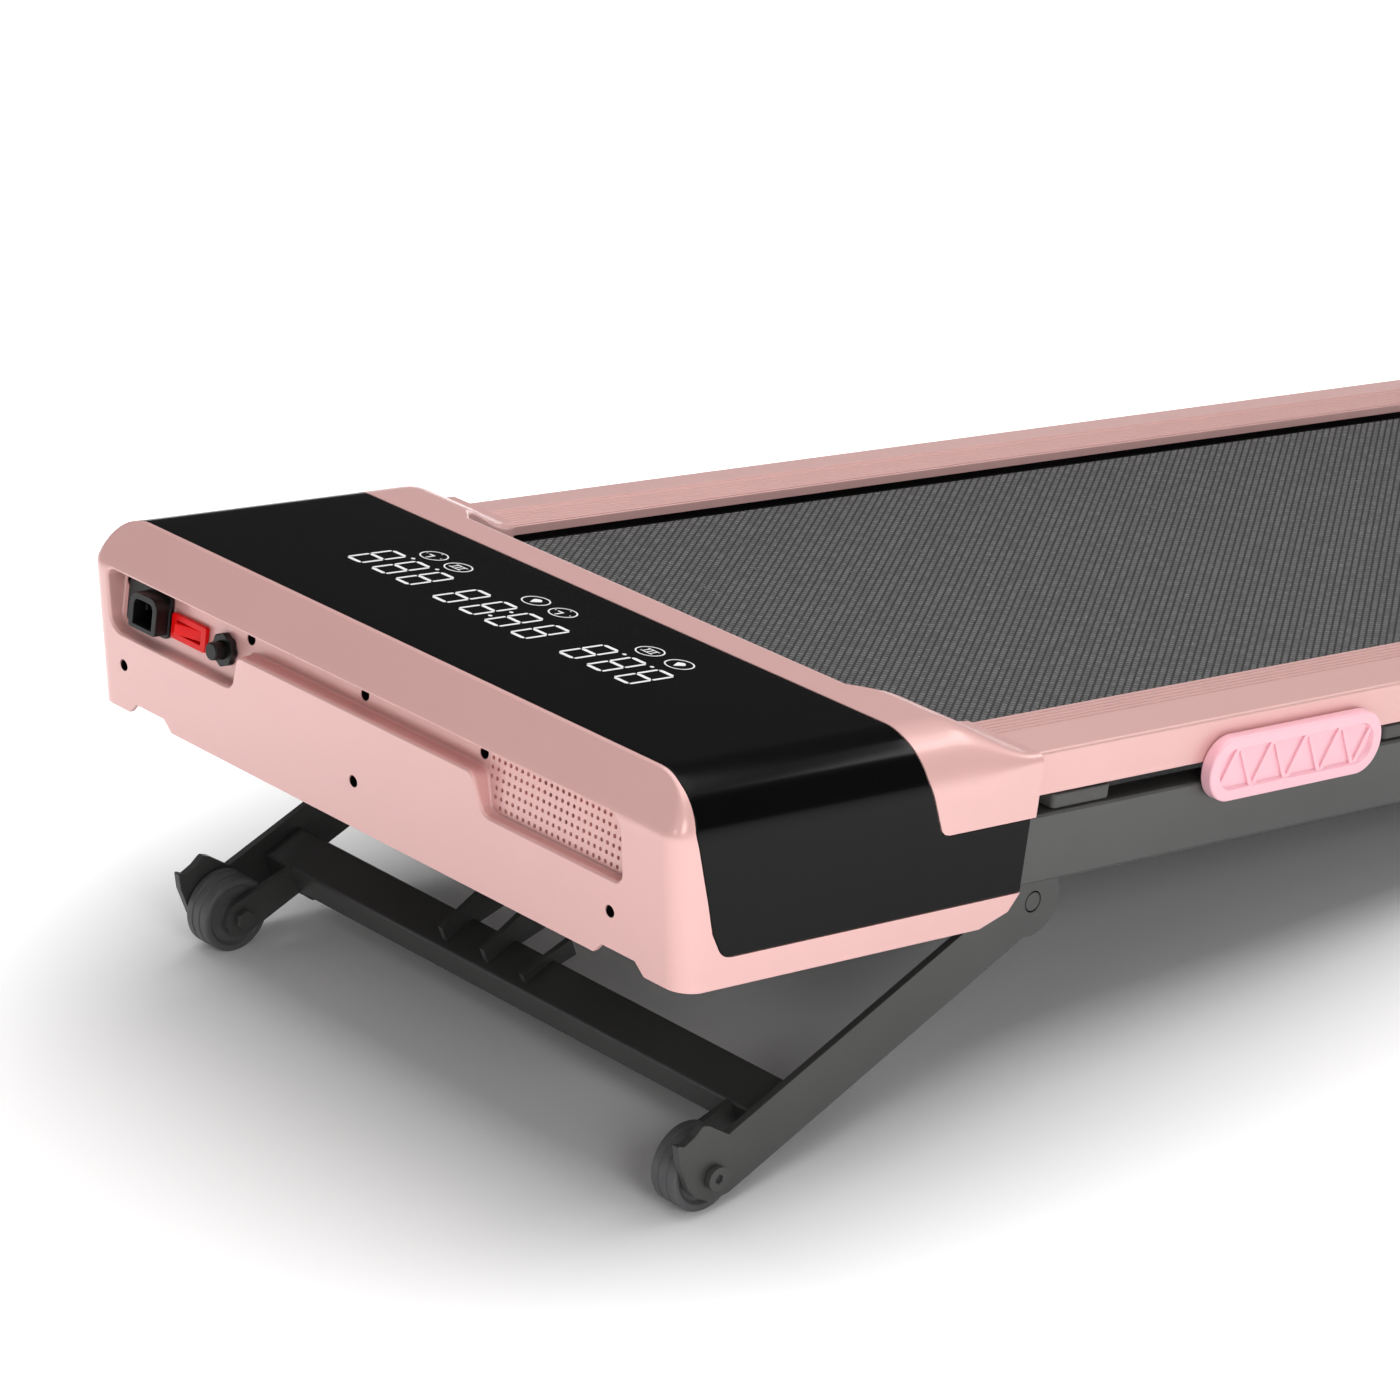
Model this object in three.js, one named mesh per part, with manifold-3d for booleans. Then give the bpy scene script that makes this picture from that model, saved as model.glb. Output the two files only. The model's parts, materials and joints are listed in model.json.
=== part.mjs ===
// Under-desk walking-pad treadmill with a fold-down lift leg, in millimetres.
// Deck frame: x across the belt, y from the motor hood (0) to the tail, z up from the hood's lower edge.
// The deck group is tilted so that the leg's wheels and the rear feet stand on z = 0.
import * as THREE from "three";
import { mergeVertices } from "three/addons/utils/BufferGeometryUtils.js";
import Module from "manifold-3d";

const wasm = await Module();
wasm.setup();

// ---- driving dimensions ----
const GAP = 0.4; // air between pieces that touch
const HOOD = { halfWidth: 260, top: 120, corner: 36, frontCorner: 14, length: 258, skin: 3 };
const CREASE_Z = 90; // the front face leans forward up to here and falls back above it
const FRONT_LEAN = 0.2; // forward run of the front face for each unit of height
const BAND_FALL = 0.45; // backward run of the band above the crease
const COVER = { front: -4, rear: 166, sideBottom: 17.3 };
const TRIM = { topRear: 196, rear: 262, tabBottom: 62, railTop: 99, wingInner: 175 };
const DECK_END = 1236;
const RAIL = { outer: 250, inner: 197, bottom: 70, edgeTop: 96, innerTop: 99, lip: 91 };
const TUBE = { inner: 230, outer: 250, bottom: 15, top: 57.5, front: 75, wall: 2 };
const BELT = { halfWidth: 192, top: 87.7, thickness: 2 };
const ROLLER = { radius: 21, bore: 6.6, axle: 6, frontY: 215, rearY: 1205 };
const BOARD = { halfWidth: 228, top: 85.3, thickness: 18 };
const CUSHION = { stations: [314, 610, 880, 1125], length: 48 };
const LEG = { pivotY: 308, pivotZ: -8, length: 264, angle: THREE.MathUtils.degToRad(28.2) };
const ARM = { outer: 228, inner: 223, height: 35, endRadius: 22 };
const WHEEL = { radius: 24, inner: 201.5, outer: 221.5, bore: 4.6, bolt: 4 };
const CROSSBAR = { front: 221, rear: 191, top: 8, bottom: -13 };
const LIFT = { x: -37, pinAlong: 135, pinUp: 12, deckY: 40, deckZ: 52, tube: 15, rod: 8 };
const REAR_FOOT = { y: 1214, bottom: 9, halfLength: 20 };
const PULLEY = { inner: 208, outer: 221, motor: 14, roller: 26 };
const MOTOR = { y: 88, z: 62, radius: 36, inner: -75, outer: -192 };
const ROLLER_Z = BELT.top - BELT.thickness - ROLLER.radius - GAP;
const SIDES = [
  ["left", 1],
  ["right", -1],
];

// ---- finishes ----
const finish = (color, roughness, metalness = 0) =>
  new THREE.MeshStandardMaterial({ color, roughness, metalness });
const PINK_SHELL = finish(0xdcb0ac, 0.38);
const PINK_RAIL = finish(0xe0b4b0, 0.42, 0.4);
const PINK_BADGE = finish(0xf4bcc6, 0.35);
const BLACK_GLOSS = finish(0x101010, 0.08);
const BLACK_PLASTIC = finish(0x141414, 0.5);
const BELT_FABRIC = finish(0x3c3c3c, 0.85);
const GREY_STEEL = finish(0x555553, 0.45, 0.3);
const ZINC_STEEL = finish(0xa8a8a8, 0.35, 1);
const RUBBER = finish(0x1c1c1c, 0.9);
const WHEEL_PLASTIC = finish(0x4a4a4c, 0.6);
const RED_PLASTIC = finish(0xd81818, 0.3);
const BOARD_WOOD = finish(0x2a2826, 0.7);
const BOARD_GREEN = finish(0x174a2c, 0.5);
const ALUMINIUM = finish(0xb4b6b8, 0.35, 1);

// ---- solids ----
function toSolid(geometry) {
  const bare = (geometry.index ? geometry.toNonIndexed() : geometry).clone();
  bare.deleteAttribute("normal");
  bare.deleteAttribute("uv");
  const merged = mergeVertices(bare, 1e-4);
  return new wasm.Manifold(
    new wasm.Mesh({
      numProp: 3,
      vertProperties: merged.attributes.position.array,
      triVerts: new Uint32Array(merged.index.array),
    }),
  );
}

function toGeometry(solid) {
  const mesh = solid.getMesh();
  const points = new Float32Array(mesh.numVert * 3);
  for (let i = 0; i < mesh.numVert; i++) {
    points.set(mesh.vertProperties.subarray(i * mesh.numProp, i * mesh.numProp + 3), i * 3);
  }
  const geometry = new THREE.BufferGeometry();
  geometry.setAttribute("position", new THREE.BufferAttribute(points, 3));
  geometry.setIndex(new THREE.BufferAttribute(new Uint32Array(mesh.triVerts), 1));
  geometry.computeVertexNormals();
  return geometry;
}

const joined = (...solids) => solids.reduce((whole, next) => whole.add(next));
const cut = (solid, ...tools) => tools.reduce((rest, tool) => rest.subtract(tool), solid);

// An outline is a list of [a, b] or [a, b, radius] corners; a radius rounds its corner with an arc.
function outline(corners, steps = 4) {
  const points = [];
  corners.forEach(([a, b, radius = 0], i) => {
    const here = new THREE.Vector2(a, b);
    if (!radius) {
      points.push(here);
      return;
    }
    const before = corners[(i + corners.length - 1) % corners.length];
    const after = corners[(i + 1) % corners.length];
    const back = new THREE.Vector2(before[0] - a, before[1] - b).normalize();
    const ahead = new THREE.Vector2(after[0] - a, after[1] - b).normalize();
    const half = Math.acos(THREE.MathUtils.clamp(back.dot(ahead), -1, 1)) / 2;
    const turn = -Math.sign(back.cross(ahead)) * (Math.PI - 2 * half);
    const centre = back.clone().add(ahead).normalize().multiplyScalar(radius / Math.sin(half)).add(here);
    const start = back.multiplyScalar(radius / Math.tan(half)).add(here).sub(centre);
    for (let k = 0; k <= steps; k++) {
      points.push(start.clone().rotateAround(new THREE.Vector2(), (turn * k) / steps).add(centre));
    }
  });
  return points;
}

const circle = (a, b, radius, steps = 24) =>
  Array.from({ length: steps }, (_, i) => {
    const angle = (2 * Math.PI * (i + 0.5)) / steps;
    return new THREE.Vector2(a + radius * Math.cos(angle), b + radius * Math.sin(angle));
  });

const rectangle = (a0, a1, b0, b1, radius = 0) =>
  outline([
    [a0, b0, radius],
    [a1, b0, radius],
    [a1, b1, radius],
    [a0, b1, radius],
  ]);

// Extrudes an outline (and its holes) from low to high along x, y or z.
// Outlines are (y, z) along x, (x, z) along y and (x, y) along z.
function prism(axis, points, low, high, holes = []) {
  const geometry = new THREE.ExtrudeGeometry(new THREE.Shape(points), {
    depth: high - low,
    bevelEnabled: false,
    curveSegments: 1,
  });
  const [X, Y, Z] = [0, 1, 2].map((i) => new THREE.Vector3().setComponent(i, 1));
  const frame = new THREE.Matrix4();
  if (axis === "x") frame.makeBasis(Y, Z, X).setPosition(low, 0, 0);
  if (axis === "y") frame.makeBasis(X, Z, Y.clone().negate()).setPosition(0, high, 0);
  if (axis === "z") frame.setPosition(0, 0, low);
  const drills = holes.map((hole) => prism(axis, hole, low - 1, high + 1));
  return cut(toSolid(geometry.applyMatrix4(frame)), ...drills);
}

const block = (x0, x1, y0, y1, z0, z1, radius = 0) =>
  prism("z", rectangle(Math.min(x0, x1), Math.max(x0, x1), y0, y1, radius), z0, z1);
const disc = (axis, a, b, radius, low, high, steps = 24) =>
  prism(axis, circle(a, b, radius, steps), Math.min(low, high), Math.max(low, high));
const mirrored = (solid) => solid.mirror([1, 0, 0]);
const onSide = (solid, sign) => (sign > 0 ? solid : mirrored(solid));

// ---- scene graph ----
const treadmill = new THREE.Group();
const deck = new THREE.Group();
treadmill.add(deck);

function place(name, solid, material) {
  const mesh = new THREE.Mesh(toGeometry(solid), material);
  mesh.name = name;
  deck.add(mesh);
}

function placePair(name, solidOnLeft, material) {
  for (const [side, sign] of SIDES) place(`${name}_${side}`, onSide(solidOnLeft, sign), material);
}

// ---- motor hood ----
// The hood's outer envelope, drawn in by inset; its bottom and rear stay open for inset > 0.
function hoodEnvelope(inset) {
  const { halfWidth, top, corner, frontCorner } = HOOD;
  const w = halfWidth - inset;
  const bottom = inset > 0 ? -20 : 0;
  const arch = outline(
    [
      [-w, bottom],
      [w, bottom],
      [w, top - inset, corner - inset],
      [-w, top - inset, corner - inset],
    ],
    8,
  );
  const plan = outline(
    [
      [-w, inset, frontCorner - inset],
      [w, inset, frontCorner - inset],
      [w, 420],
      [-w, 420],
    ],
    5,
  );
  const lean = (slope, atZ, atY) =>
    new THREE.Matrix4().set(1, 0, 0, 0, 0, 1, slope, atY - slope * atZ, 0, 0, 1, 0, 0, 0, 0, 1);
  const planned = (matrix) => {
    const shape = new THREE.ExtrudeGeometry(new THREE.Shape(plan), { depth: 160, bevelEnabled: false });
    return toSolid(shape.translate(0, 0, -20).applyMatrix4(matrix));
  };
  const rear = TRIM.rear + (inset > 0 ? 20 : 0);
  return prism("y", arch, -60, rear)
    .intersect(planned(lean(-FRONT_LEAN, 0, 0)))
    .intersect(planned(lean(BAND_FALL, CREASE_Z, -FRONT_LEAN * CREASE_Z)));
}

const envelope = hoodEnvelope(0);
const hollow = hoodEnvelope(HOOD.skin);
const skin = cut(envelope, hollow);

// Edge between the pink base and the black cover, from the top down to the side border.
const coverFrontEdge = (gap) => [
  [COVER.front + gap, 140],
  [COVER.front + gap, 118],
  [-5 + gap, 92],
  [10 + gap, 51],
  [16 + gap, 33, 6],
  [26 + gap, COVER.sideBottom + gap, 12],
];

// Edge between the black cover and the pink trim, from the top down to the side tab's lower edge.
const trimFrontEdge = (gap) => [
  [COVER.rear + gap, 140],
  [COVER.rear + gap, 118],
  [171 + gap, 97],
  [187 + gap, TRIM.tabBottom + gap, 8],
];

const mouthOutline = outline([
  [-241.5, CREASE_Z - 1, 6],
  [-241.5, 50, 10],
  [-126, 50, 7],
  [-119, 73, 7],
  [91, 73, 7],
  [99, 49.5, 8],
  [213, 49.5, 6],
  [213, CREASE_Z - 1, 9],
]);
const TRAY_Y = -2.4; // front surface of the floor of the recess in the front face
const TRAY_BACK = 0.8;

function grownOutline(points, distance) {
  return points.map((point, i) => {
    const before = points[(i + points.length - 1) % points.length];
    const after = points[(i + 1) % points.length];
    const along = after.clone().sub(before).normalize();
    return new THREE.Vector2(point.x - along.y * distance, point.y + along.x * distance);
  });
}

const INLET = { x0: -220, x1: -194, z0: 59.5, z1: 82 };
const SWITCH = { x0: -191, x1: -158.5, z0: 60, z1: 75.4 };
const BREAKER = { x: -141.3, z: 68, nut: 10, body: 7, button: 5.4 };
const GRILLE = { x0: 91.5, x1: 208, z0: 51, z1: 86 };
const SCREW_HOLES = [
  [-236, 80.5],
  [-120.8, 80.5],
  [-17, 80.5],
  [86.7, 80.5],
  [-231.5, 29.6],
  [-15.3, 29.6],
  [203, 29.6],
];

function hoodBase() {
  const border = outline([
    [24, 0],
    [228, 0],
    [HOOD.length - 8, 7],
    [HOOD.length, COVER.sideBottom],
    [24, COVER.sideBottom],
  ]);
  const front = outline([[-60, -5], [40, -5], [40, COVER.sideBottom], ...coverFrontEdge(0).reverse(), [-60, 140]]);
  const reach = HOOD.halfWidth + 5;
  const shell = joined(
    skin.intersect(prism("x", front, -reach, reach)),
    skin.intersect(prism("x", border, -reach, reach)),
  );
  const liner = prism("x", rectangle(6, 250, 4, 58, 3), 253.4, 256.6);
  const step = block(253.4, 258, 6, 226, 4, 16);
  const lining = joined(liner, step);
  const tray = prism("y", grownOutline(mouthOutline, -3), -60, TRAY_BACK).intersect(envelope);
  const notch = prism("y", outline([[187, -1], [230, -1], [222, 7], [195, 7]]), -60, 20);
  const holes = SCREW_HOLES.map(([x, z]) => disc("y", x, z, 3.7, -60, 10, 10));
  return cut(
    joined(shell, lining, mirrored(lining), tray),
    prism("y", mouthOutline, -60, TRAY_Y),
    notch,
    mirrored(notch),
    block(INLET.x0 + 1, INLET.x1 - 1, -10, 10, INLET.z0 + 1, INLET.z1 - 1),
    block(SWITCH.x0 + 3, SWITCH.x1 - 3, -10, 10, SWITCH.z0 + 2, SWITCH.z1 - 2),
    disc("y", BREAKER.x, BREAKER.z, BREAKER.body + GAP, -10, 10),
    block(GRILLE.x0 - GAP, GRILLE.x1 + GAP, TRAY_Y - GAP, 10, GRILLE.z0 - GAP, GRILLE.z1 + GAP),
    ...holes,
  );
}

function hoodCover() {
  const region = outline([
    ...coverFrontEdge(GAP),
    [HOOD.length, COVER.sideBottom + GAP],
    [HOOD.length, TRIM.tabBottom - GAP],
    ...trimFrontEdge(-GAP).reverse(),
  ]);
  return skin.intersect(prism("x", region, -300, 300));
}

// Side view of the trim: level on top, then an easy slope down to the rails.
function trimSlope(drop) {
  const points = [];
  const steps = 8;
  for (let i = 0; i <= steps; i++) {
    const t = i / steps;
    const ease = t * t * (3 - 2 * t);
    points.push([TRIM.topRear + (TRIM.rear - TRIM.topRear) * t, HOOD.top - drop - (HOOD.top - TRIM.railTop) * ease]);
  }
  return points;
}

function rearTrim() {
  const { topRear, rear, tabBottom, wingInner } = TRIM;
  const wall = HOOD.skin;
  const body = outline([
    ...trimFrontEdge(0),
    [rear - 2, tabBottom],
    [rear, tabBottom + 30],
    ...trimSlope(0).reverse(),
    [topRear, 140],
  ]);
  const inner = outline([[150, 0], [rear + 10, 0], ...trimSlope(wall).reverse(), [150, HOOD.top - wall]]);
  const room = hollow.intersect(prism("x", inner, -300, 300));
  const wings = room.subtract(block(-wingInner - wall, wingInner + wall, topRear - wall, 300, 0, 140));
  const mouth = block(-wingInner, wingInner, topRear, 300, 0, 140);
  const overBelt = block(-203, 203, topRear - wall - 1, 300, 0, 90);
  return cut(envelope.intersect(prism("x", body, -300, 300)), wings, mouth, overBelt);
}

function bellyPan() {
  const pan = block(-184, 184, 14, 180, 17, 19, 6);
  return cut(pan, block(LIFT.x - 26, 30, 24, 190, 0, 40));
}

place("hood_base", hoodBase(), PINK_SHELL);
place("hood_cover", hoodCover(), BLACK_GLOSS);
place("rear_trim", rearTrim(), PINK_SHELL);
place("belly_pan", bellyPan(), BLACK_PLASTIC);
place("display_board", block(-150, 150, 22, 150, 112, 115.4, 4), BOARD_GREEN);
place(
  "vent_grille",
  prism("y", rectangle(GRILLE.x0, GRILLE.x1, GRILLE.z0, GRILLE.z1, 3), TRAY_Y, TRAY_BACK),
  PINK_SHELL,
);

// ---- power inlet, rocker switch and overload breaker ----
function powerInlet() {
  const { x0, x1, z0, z1 } = INLET;
  const housing = prism("y", outline([[x0, z0, 2], [x1, z0, 2], [x1, z1, 7], [x0, z1, 7]]), -15, TRAY_Y - GAP);
  const flange = prism("y", rectangle(-234, -193, 57, 84.5, 4), -5.5, TRAY_Y - GAP);
  const rearBody = block(x0 + 2, x1 - 2, -3, 12, z0 + 2, z1 - 2);
  const well = prism("y", outline([[x0 + 4, z0 + 3], [x1 - 4, z0 + 3], [x1 - 4, z1 - 4, 4], [x0 + 4, z1 - 4, 4]]), -20, 5);
  const middle = (x0 + x1) / 2;
  const pins = [-6, 0, 6].map((dx) => block(middle + dx - 1, middle + dx + 1, -8, 6, 70 + (dx ? 0 : 2), 74 + (dx ? 0 : 2)));
  return joined(cut(joined(housing, flange, rearBody), well), ...pins);
}

function switchBezel() {
  const { x0, x1, z0, z1 } = SWITCH;
  const rim = prism("y", rectangle(x0, x1, z0, z1, 1.5), -5.6, TRAY_Y - GAP);
  const sleeve = block(x0 + 3.4, x1 - 3.4, -3.5, 12, z0 + 2.4, z1 - 2.4);
  return cut(joined(rim, sleeve), block(x0 + 4.6, x1 - 4.6, -20, 8, z0 + 3.6, z1 - 3.6));
}

function switchRocker() {
  const middle = (SWITCH.x0 + SWITCH.x1) / 2;
  const half = 10.3;
  const plan = outline([
    [middle - half, 0.5],
    [middle + half, 3],
    [middle + half, -3.2],
    [middle, -5.2],
    [middle - half, -8.4],
  ]);
  return prism("z", plan, SWITCH.z0 + 4.2, SWITCH.z1 - 4.2);
}

function breakerBody() {
  const { x, z, nut, body, button } = BREAKER;
  const whole = joined(
    disc("y", x, z, nut, -7, TRAY_Y - GAP, 20),
    disc("y", x, z, body, -4, 4),
    block(x - 9, x + 9, 3, 20, z - 12, z + 12),
  );
  return cut(whole, disc("y", x, z, button + GAP, -20, 1));
}

place("power_inlet", powerInlet(), BLACK_PLASTIC);
place("switch_bezel", switchBezel(), RED_PLASTIC);
place("switch_rocker", switchRocker(), RED_PLASTIC);
place("breaker_body", breakerBody(), BLACK_PLASTIC);
place("breaker_button", disc("y", BREAKER.x, BREAKER.z, BREAKER.button, -15, -3, 20), BLACK_PLASTIC);

// ---- deck frame ----
function sideTube() {
  const { inner, outer, bottom, top, front, wall } = TUBE;
  const tube = prism("y", rectangle(inner, outer, bottom, top, 2), front, DECK_END, [
    rectangle(inner + wall, outer - wall, bottom + wall, top - wall),
  ]);
  const ears = [ROLLER.frontY, ROLLER.rearY].map((y) =>
    prism("x", rectangle(y - 16, y + 16, 32, ROLLER_Z + 12, 3), 224.5, inner + 1, [circle(y, ROLLER_Z, ROLLER.axle + GAP)]),
  );
  return joined(tube, ...ears);
}

function frontCrossmember() {
  const beam = prism("x", rectangle(LEG.pivotY - 16, LEG.pivotY + 16, 17, 39, 2), -TUBE.inner + GAP, TUBE.inner - GAP);
  const lug = prism(
    "x",
    outline([[LEG.pivotY - 20, 18], [LEG.pivotY - 20, -28, 18], [LEG.pivotY + 20, -28, 18], [LEG.pivotY + 20, 18]]),
    215,
    221,
    [circle(LEG.pivotY, LEG.pivotZ, 6 + GAP)],
  );
  return joined(beam, lug, mirrored(lug));
}

placePair("side_tube", sideTube(), GREY_STEEL);
place("front_crossmember", frontCrossmember(), GREY_STEEL);
for (const [name, y] of [["mid_crossmember_front", 560], ["mid_crossmember_rear", 860]]) {
  place(name, prism("x", rectangle(y - 20, y + 20, 46, 56.5, 2), -TUBE.inner + GAP, TUBE.inner - GAP), GREY_STEEL);
}
place(
  "rear_crossmember",
  prism("x", rectangle(1150, 1180, 17, 37, 2), -TUBE.inner + GAP, TUBE.inner - GAP),
  GREY_STEEL,
);
placePair("leg_pivot_pin", disc("x", LEG.pivotY, LEG.pivotZ, 6, 213, 228), ZINC_STEEL);

for (const [i, y] of CUSHION.stations.entries()) {
  const half = CUSHION.length / 2;
  const pad = prism("z", rectangle(206, 247, y - half, y + half, 3), TUBE.top + GAP, BOARD.top - BOARD.thickness - GAP);
  placePair(`deck_cushion_${i + 1}`, pad, RUBBER);
}

// ---- running deck ----
function loopOutline(radius, y0, y1, z, steps = 10) {
  const points = [];
  for (let i = 0; i <= steps; i++) {
    const angle = Math.PI / 2 + (Math.PI * i) / steps;
    points.push(new THREE.Vector2(y0 + radius * Math.cos(angle), z + radius * Math.sin(angle)));
  }
  for (let i = 0; i <= steps; i++) {
    const angle = -Math.PI / 2 + (Math.PI * i) / steps;
    points.push(new THREE.Vector2(y1 + radius * Math.cos(angle), z + radius * Math.sin(angle)));
  }
  return points;
}

function footRail() {
  const { outer, inner, bottom, edgeTop, innerTop, lip } = RAIL;
  const step = 222;
  const section = outline([
    [outer, bottom],
    [outer, edgeTop, 2],
    [step, innerTop],
    [step, innerTop - 1],
    [inner, innerTop - 1, 1.5],
    [inner, lip],
    [inner + 3, lip],
    [inner + 3, innerTop - 6],
    [outer - 4, edgeTop - 5],
    [outer - 4, bottom],
  ]);
  return prism("y", section, TRIM.rear + GAP, DECK_END);
}

const beltOuter = ROLLER.radius + BELT.thickness + GAP;
place(
  "running_belt",
  prism("x", loopOutline(beltOuter, ROLLER.frontY, ROLLER.rearY, ROLLER_Z), -BELT.halfWidth, BELT.halfWidth, [
    loopOutline(ROLLER.radius + GAP, ROLLER.frontY, ROLLER.rearY, ROLLER_Z),
  ]),
  BELT_FABRIC,
);
place(
  "running_board",
  block(-BOARD.halfWidth, BOARD.halfWidth, 265, 1160, BOARD.top - BOARD.thickness, BOARD.top, 2),
  BOARD_WOOD,
);
placePair("foot_rail", footRail(), PINK_RAIL);

function roller(withPulley) {
  const bore = (low, high) => disc("x", 0, 0, ROLLER.bore, low, high);
  const drum = disc("x", 0, 0, ROLLER.radius, -204, 204, 32);
  if (!withPulley) return cut(drum, bore(-300, 300));
  const hub = disc("x", 0, 0, 12, -PULLEY.inner - 1, -203);
  const pulley = disc("x", 0, 0, PULLEY.roller, -PULLEY.outer, -PULLEY.inner, 32);
  return cut(joined(drum, hub, pulley), bore(-300, 300));
}

const axle = disc("x", 0, 0, ROLLER.axle, -229.4, 229.4);
place("front_roller", roller(true).translate([0, ROLLER.frontY, ROLLER_Z]), ALUMINIUM);
place("rear_roller", roller(false).translate([0, ROLLER.rearY, ROLLER_Z]), ALUMINIUM);
place("front_roller_axle", axle.translate([0, ROLLER.frontY, ROLLER_Z]), ZINC_STEEL);
place("rear_roller_axle", axle.translate([0, ROLLER.rearY, ROLLER_Z]), ZINC_STEEL);

// ---- drive ----
function driveBelt() {
  const from = new THREE.Vector2(MOTOR.y, MOTOR.z);
  const to = new THREE.Vector2(ROLLER.frontY, ROLLER_Z);
  const span = to.clone().sub(from);
  const side = Math.asin((PULLEY.roller - PULLEY.motor) / span.length());
  const loop = (extra) => {
    const points = [];
    const steps = 10;
    const wrap = (centre, radius, start, sweep) => {
      for (let i = 0; i <= steps; i++) {
        const angle = span.angle() + start + (sweep * i) / steps;
        points.push(new THREE.Vector2(centre.x + radius * Math.cos(angle), centre.y + radius * Math.sin(angle)));
      }
    };
    const quarter = Math.PI / 2;
    wrap(from, PULLEY.motor + extra, quarter + side, Math.PI - 2 * side);
    wrap(to, PULLEY.roller + extra, -quarter - side, Math.PI + 2 * side);
    return points;
  };
  return prism("x", loop(3), -PULLEY.outer + 1, -PULLEY.inner - 1, [loop(GAP)]);
}

function motorPulley() {
  return joined(
    disc("x", MOTOR.y, MOTOR.z, PULLEY.motor, -PULLEY.outer, -PULLEY.inner),
    disc("x", MOTOR.y, MOTOR.z, 5, -PULLEY.inner - 1, MOTOR.outer + 8, 16),
  );
}

function driveMotor() {
  const can = disc("x", MOTOR.y, MOTOR.z, MOTOR.radius, MOTOR.outer, MOTOR.inner, 32);
  const foot = block(MOTOR.outer + 20, MOTOR.inner - 20, MOTOR.y - 28, MOTOR.y + 28, 20, 40);
  return cut(joined(can, foot), disc("x", MOTOR.y, MOTOR.z, 5 + GAP, MOTOR.outer - 5, MOTOR.outer + 10, 16));
}

function motorController() {
  const box = block(45, 180, 30, 130, 22, 40, 3);
  const fins = Array.from({ length: 8 }, (_, i) => block(60, 165, 40 + i * 11, 43 + i * 11, 39, 62));
  return joined(box, ...fins);
}

place("drive_motor", driveMotor(), BLACK_PLASTIC);
place("motor_pulley", motorPulley(), ZINC_STEEL);
place("drive_belt", driveBelt(), RUBBER);
place("motor_controller", motorController(), ALUMINIUM);

// ---- side badges, tail caps, feet ----
function sideBadge() {
  const [y0, y1, z0, z1] = [412, 568, 45.5, 85.5];
  const plate = prism("x", rectangle(y0, y1, z0, z1, 19.8), RAIL.outer + GAP, 259);
  const pocket = prism("x", rectangle(y0 + 9, y1 - 9, z0 + 8, z1 - 8, 11.5), 256.4, 270);
  return cut(plate, pocket);
}

function endCap() {
  const cap = block(198, 252, DECK_END + GAP, 1250, 17, 100, 6);
  return cut(cap, disc("y", 236, ROLLER_Z, 3.6, 1200, 1300, 12));
}

function tensionBolt() {
  const head = disc("y", 236, ROLLER_Z, 6.5, 1250.4, 1254, 6);
  return joined(head, disc("y", 236, ROLLER_Z, 3.1, DECK_END - 12, 1251, 12));
}

// The sole has a level half for the folded position and a half ground to the raised incline.
function rearFoot(incline) {
  const { y, bottom, halfLength } = REAR_FOOT;
  const rise = Math.tan(incline) * halfLength;
  const side = outline([
    [y - halfLength, TUBE.bottom - GAP],
    [y - halfLength, bottom],
    [y, bottom],
    [y + halfLength, bottom + rise],
    [y + halfLength, TUBE.bottom - GAP],
  ]);
  return prism("x", side, 231, 249);
}

placePair("side_badge", sideBadge(), PINK_BADGE);
placePair("end_cap", endCap(), PINK_SHELL);
placePair("tension_bolt", tensionBolt(), ZINC_STEEL);

// ---- lift leg ----
// Leg coordinates: along runs from the pivot to the wheel axle, up is square to it, above the arm.
const LEG_DIRECTION = new THREE.Vector2(-Math.cos(LEG.angle), -Math.sin(LEG.angle));
const LEG_UP = new THREE.Vector2(-Math.sin(LEG.angle), Math.cos(LEG.angle));
const legPoint = (along, up = 0) =>
  new THREE.Vector2(LEG.pivotY, LEG.pivotZ).addScaledVector(LEG_DIRECTION, along).addScaledVector(LEG_UP, up);
const legCorners = (corners) => corners.map(([along, up, radius = 0]) => [...legPoint(along, up).toArray(), radius]);
const WHEEL_AXLE = legPoint(LEG.length);

function legArm() {
  const half = ARM.height / 2;
  const plate = prism(
    "x",
    outline(
      legCorners([
        [0, half],
        [246, half],
        [256, half + 14.5],
        [260, half + 18, 2],
        [268, half + 15.5, 2],
        [276, half + 15],
        [280, half + 19, 1],
        [282.5, half + 8],
        [282.5, 5],
        [280, -3],
        [272, -13, 6],
        [258, -half],
        [0, -half],
      ]),
    ),
    ARM.inner,
    ARM.outer,
  );
  const end = disc("x", LEG.pivotY, LEG.pivotZ, ARM.endRadius, ARM.inner, ARM.outer, 32);
  const [y, z] = WHEEL_AXLE.toArray();
  return cut(
    joined(plate, end),
    disc("x", LEG.pivotY, LEG.pivotZ, 6 + GAP + 0.2, 200, 240),
    disc("x", y, z, WHEEL.bolt + GAP, 200, 240),
  );
}

const LIFT_PIN = legPoint(LIFT.pinAlong, LIFT.pinUp);

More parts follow.
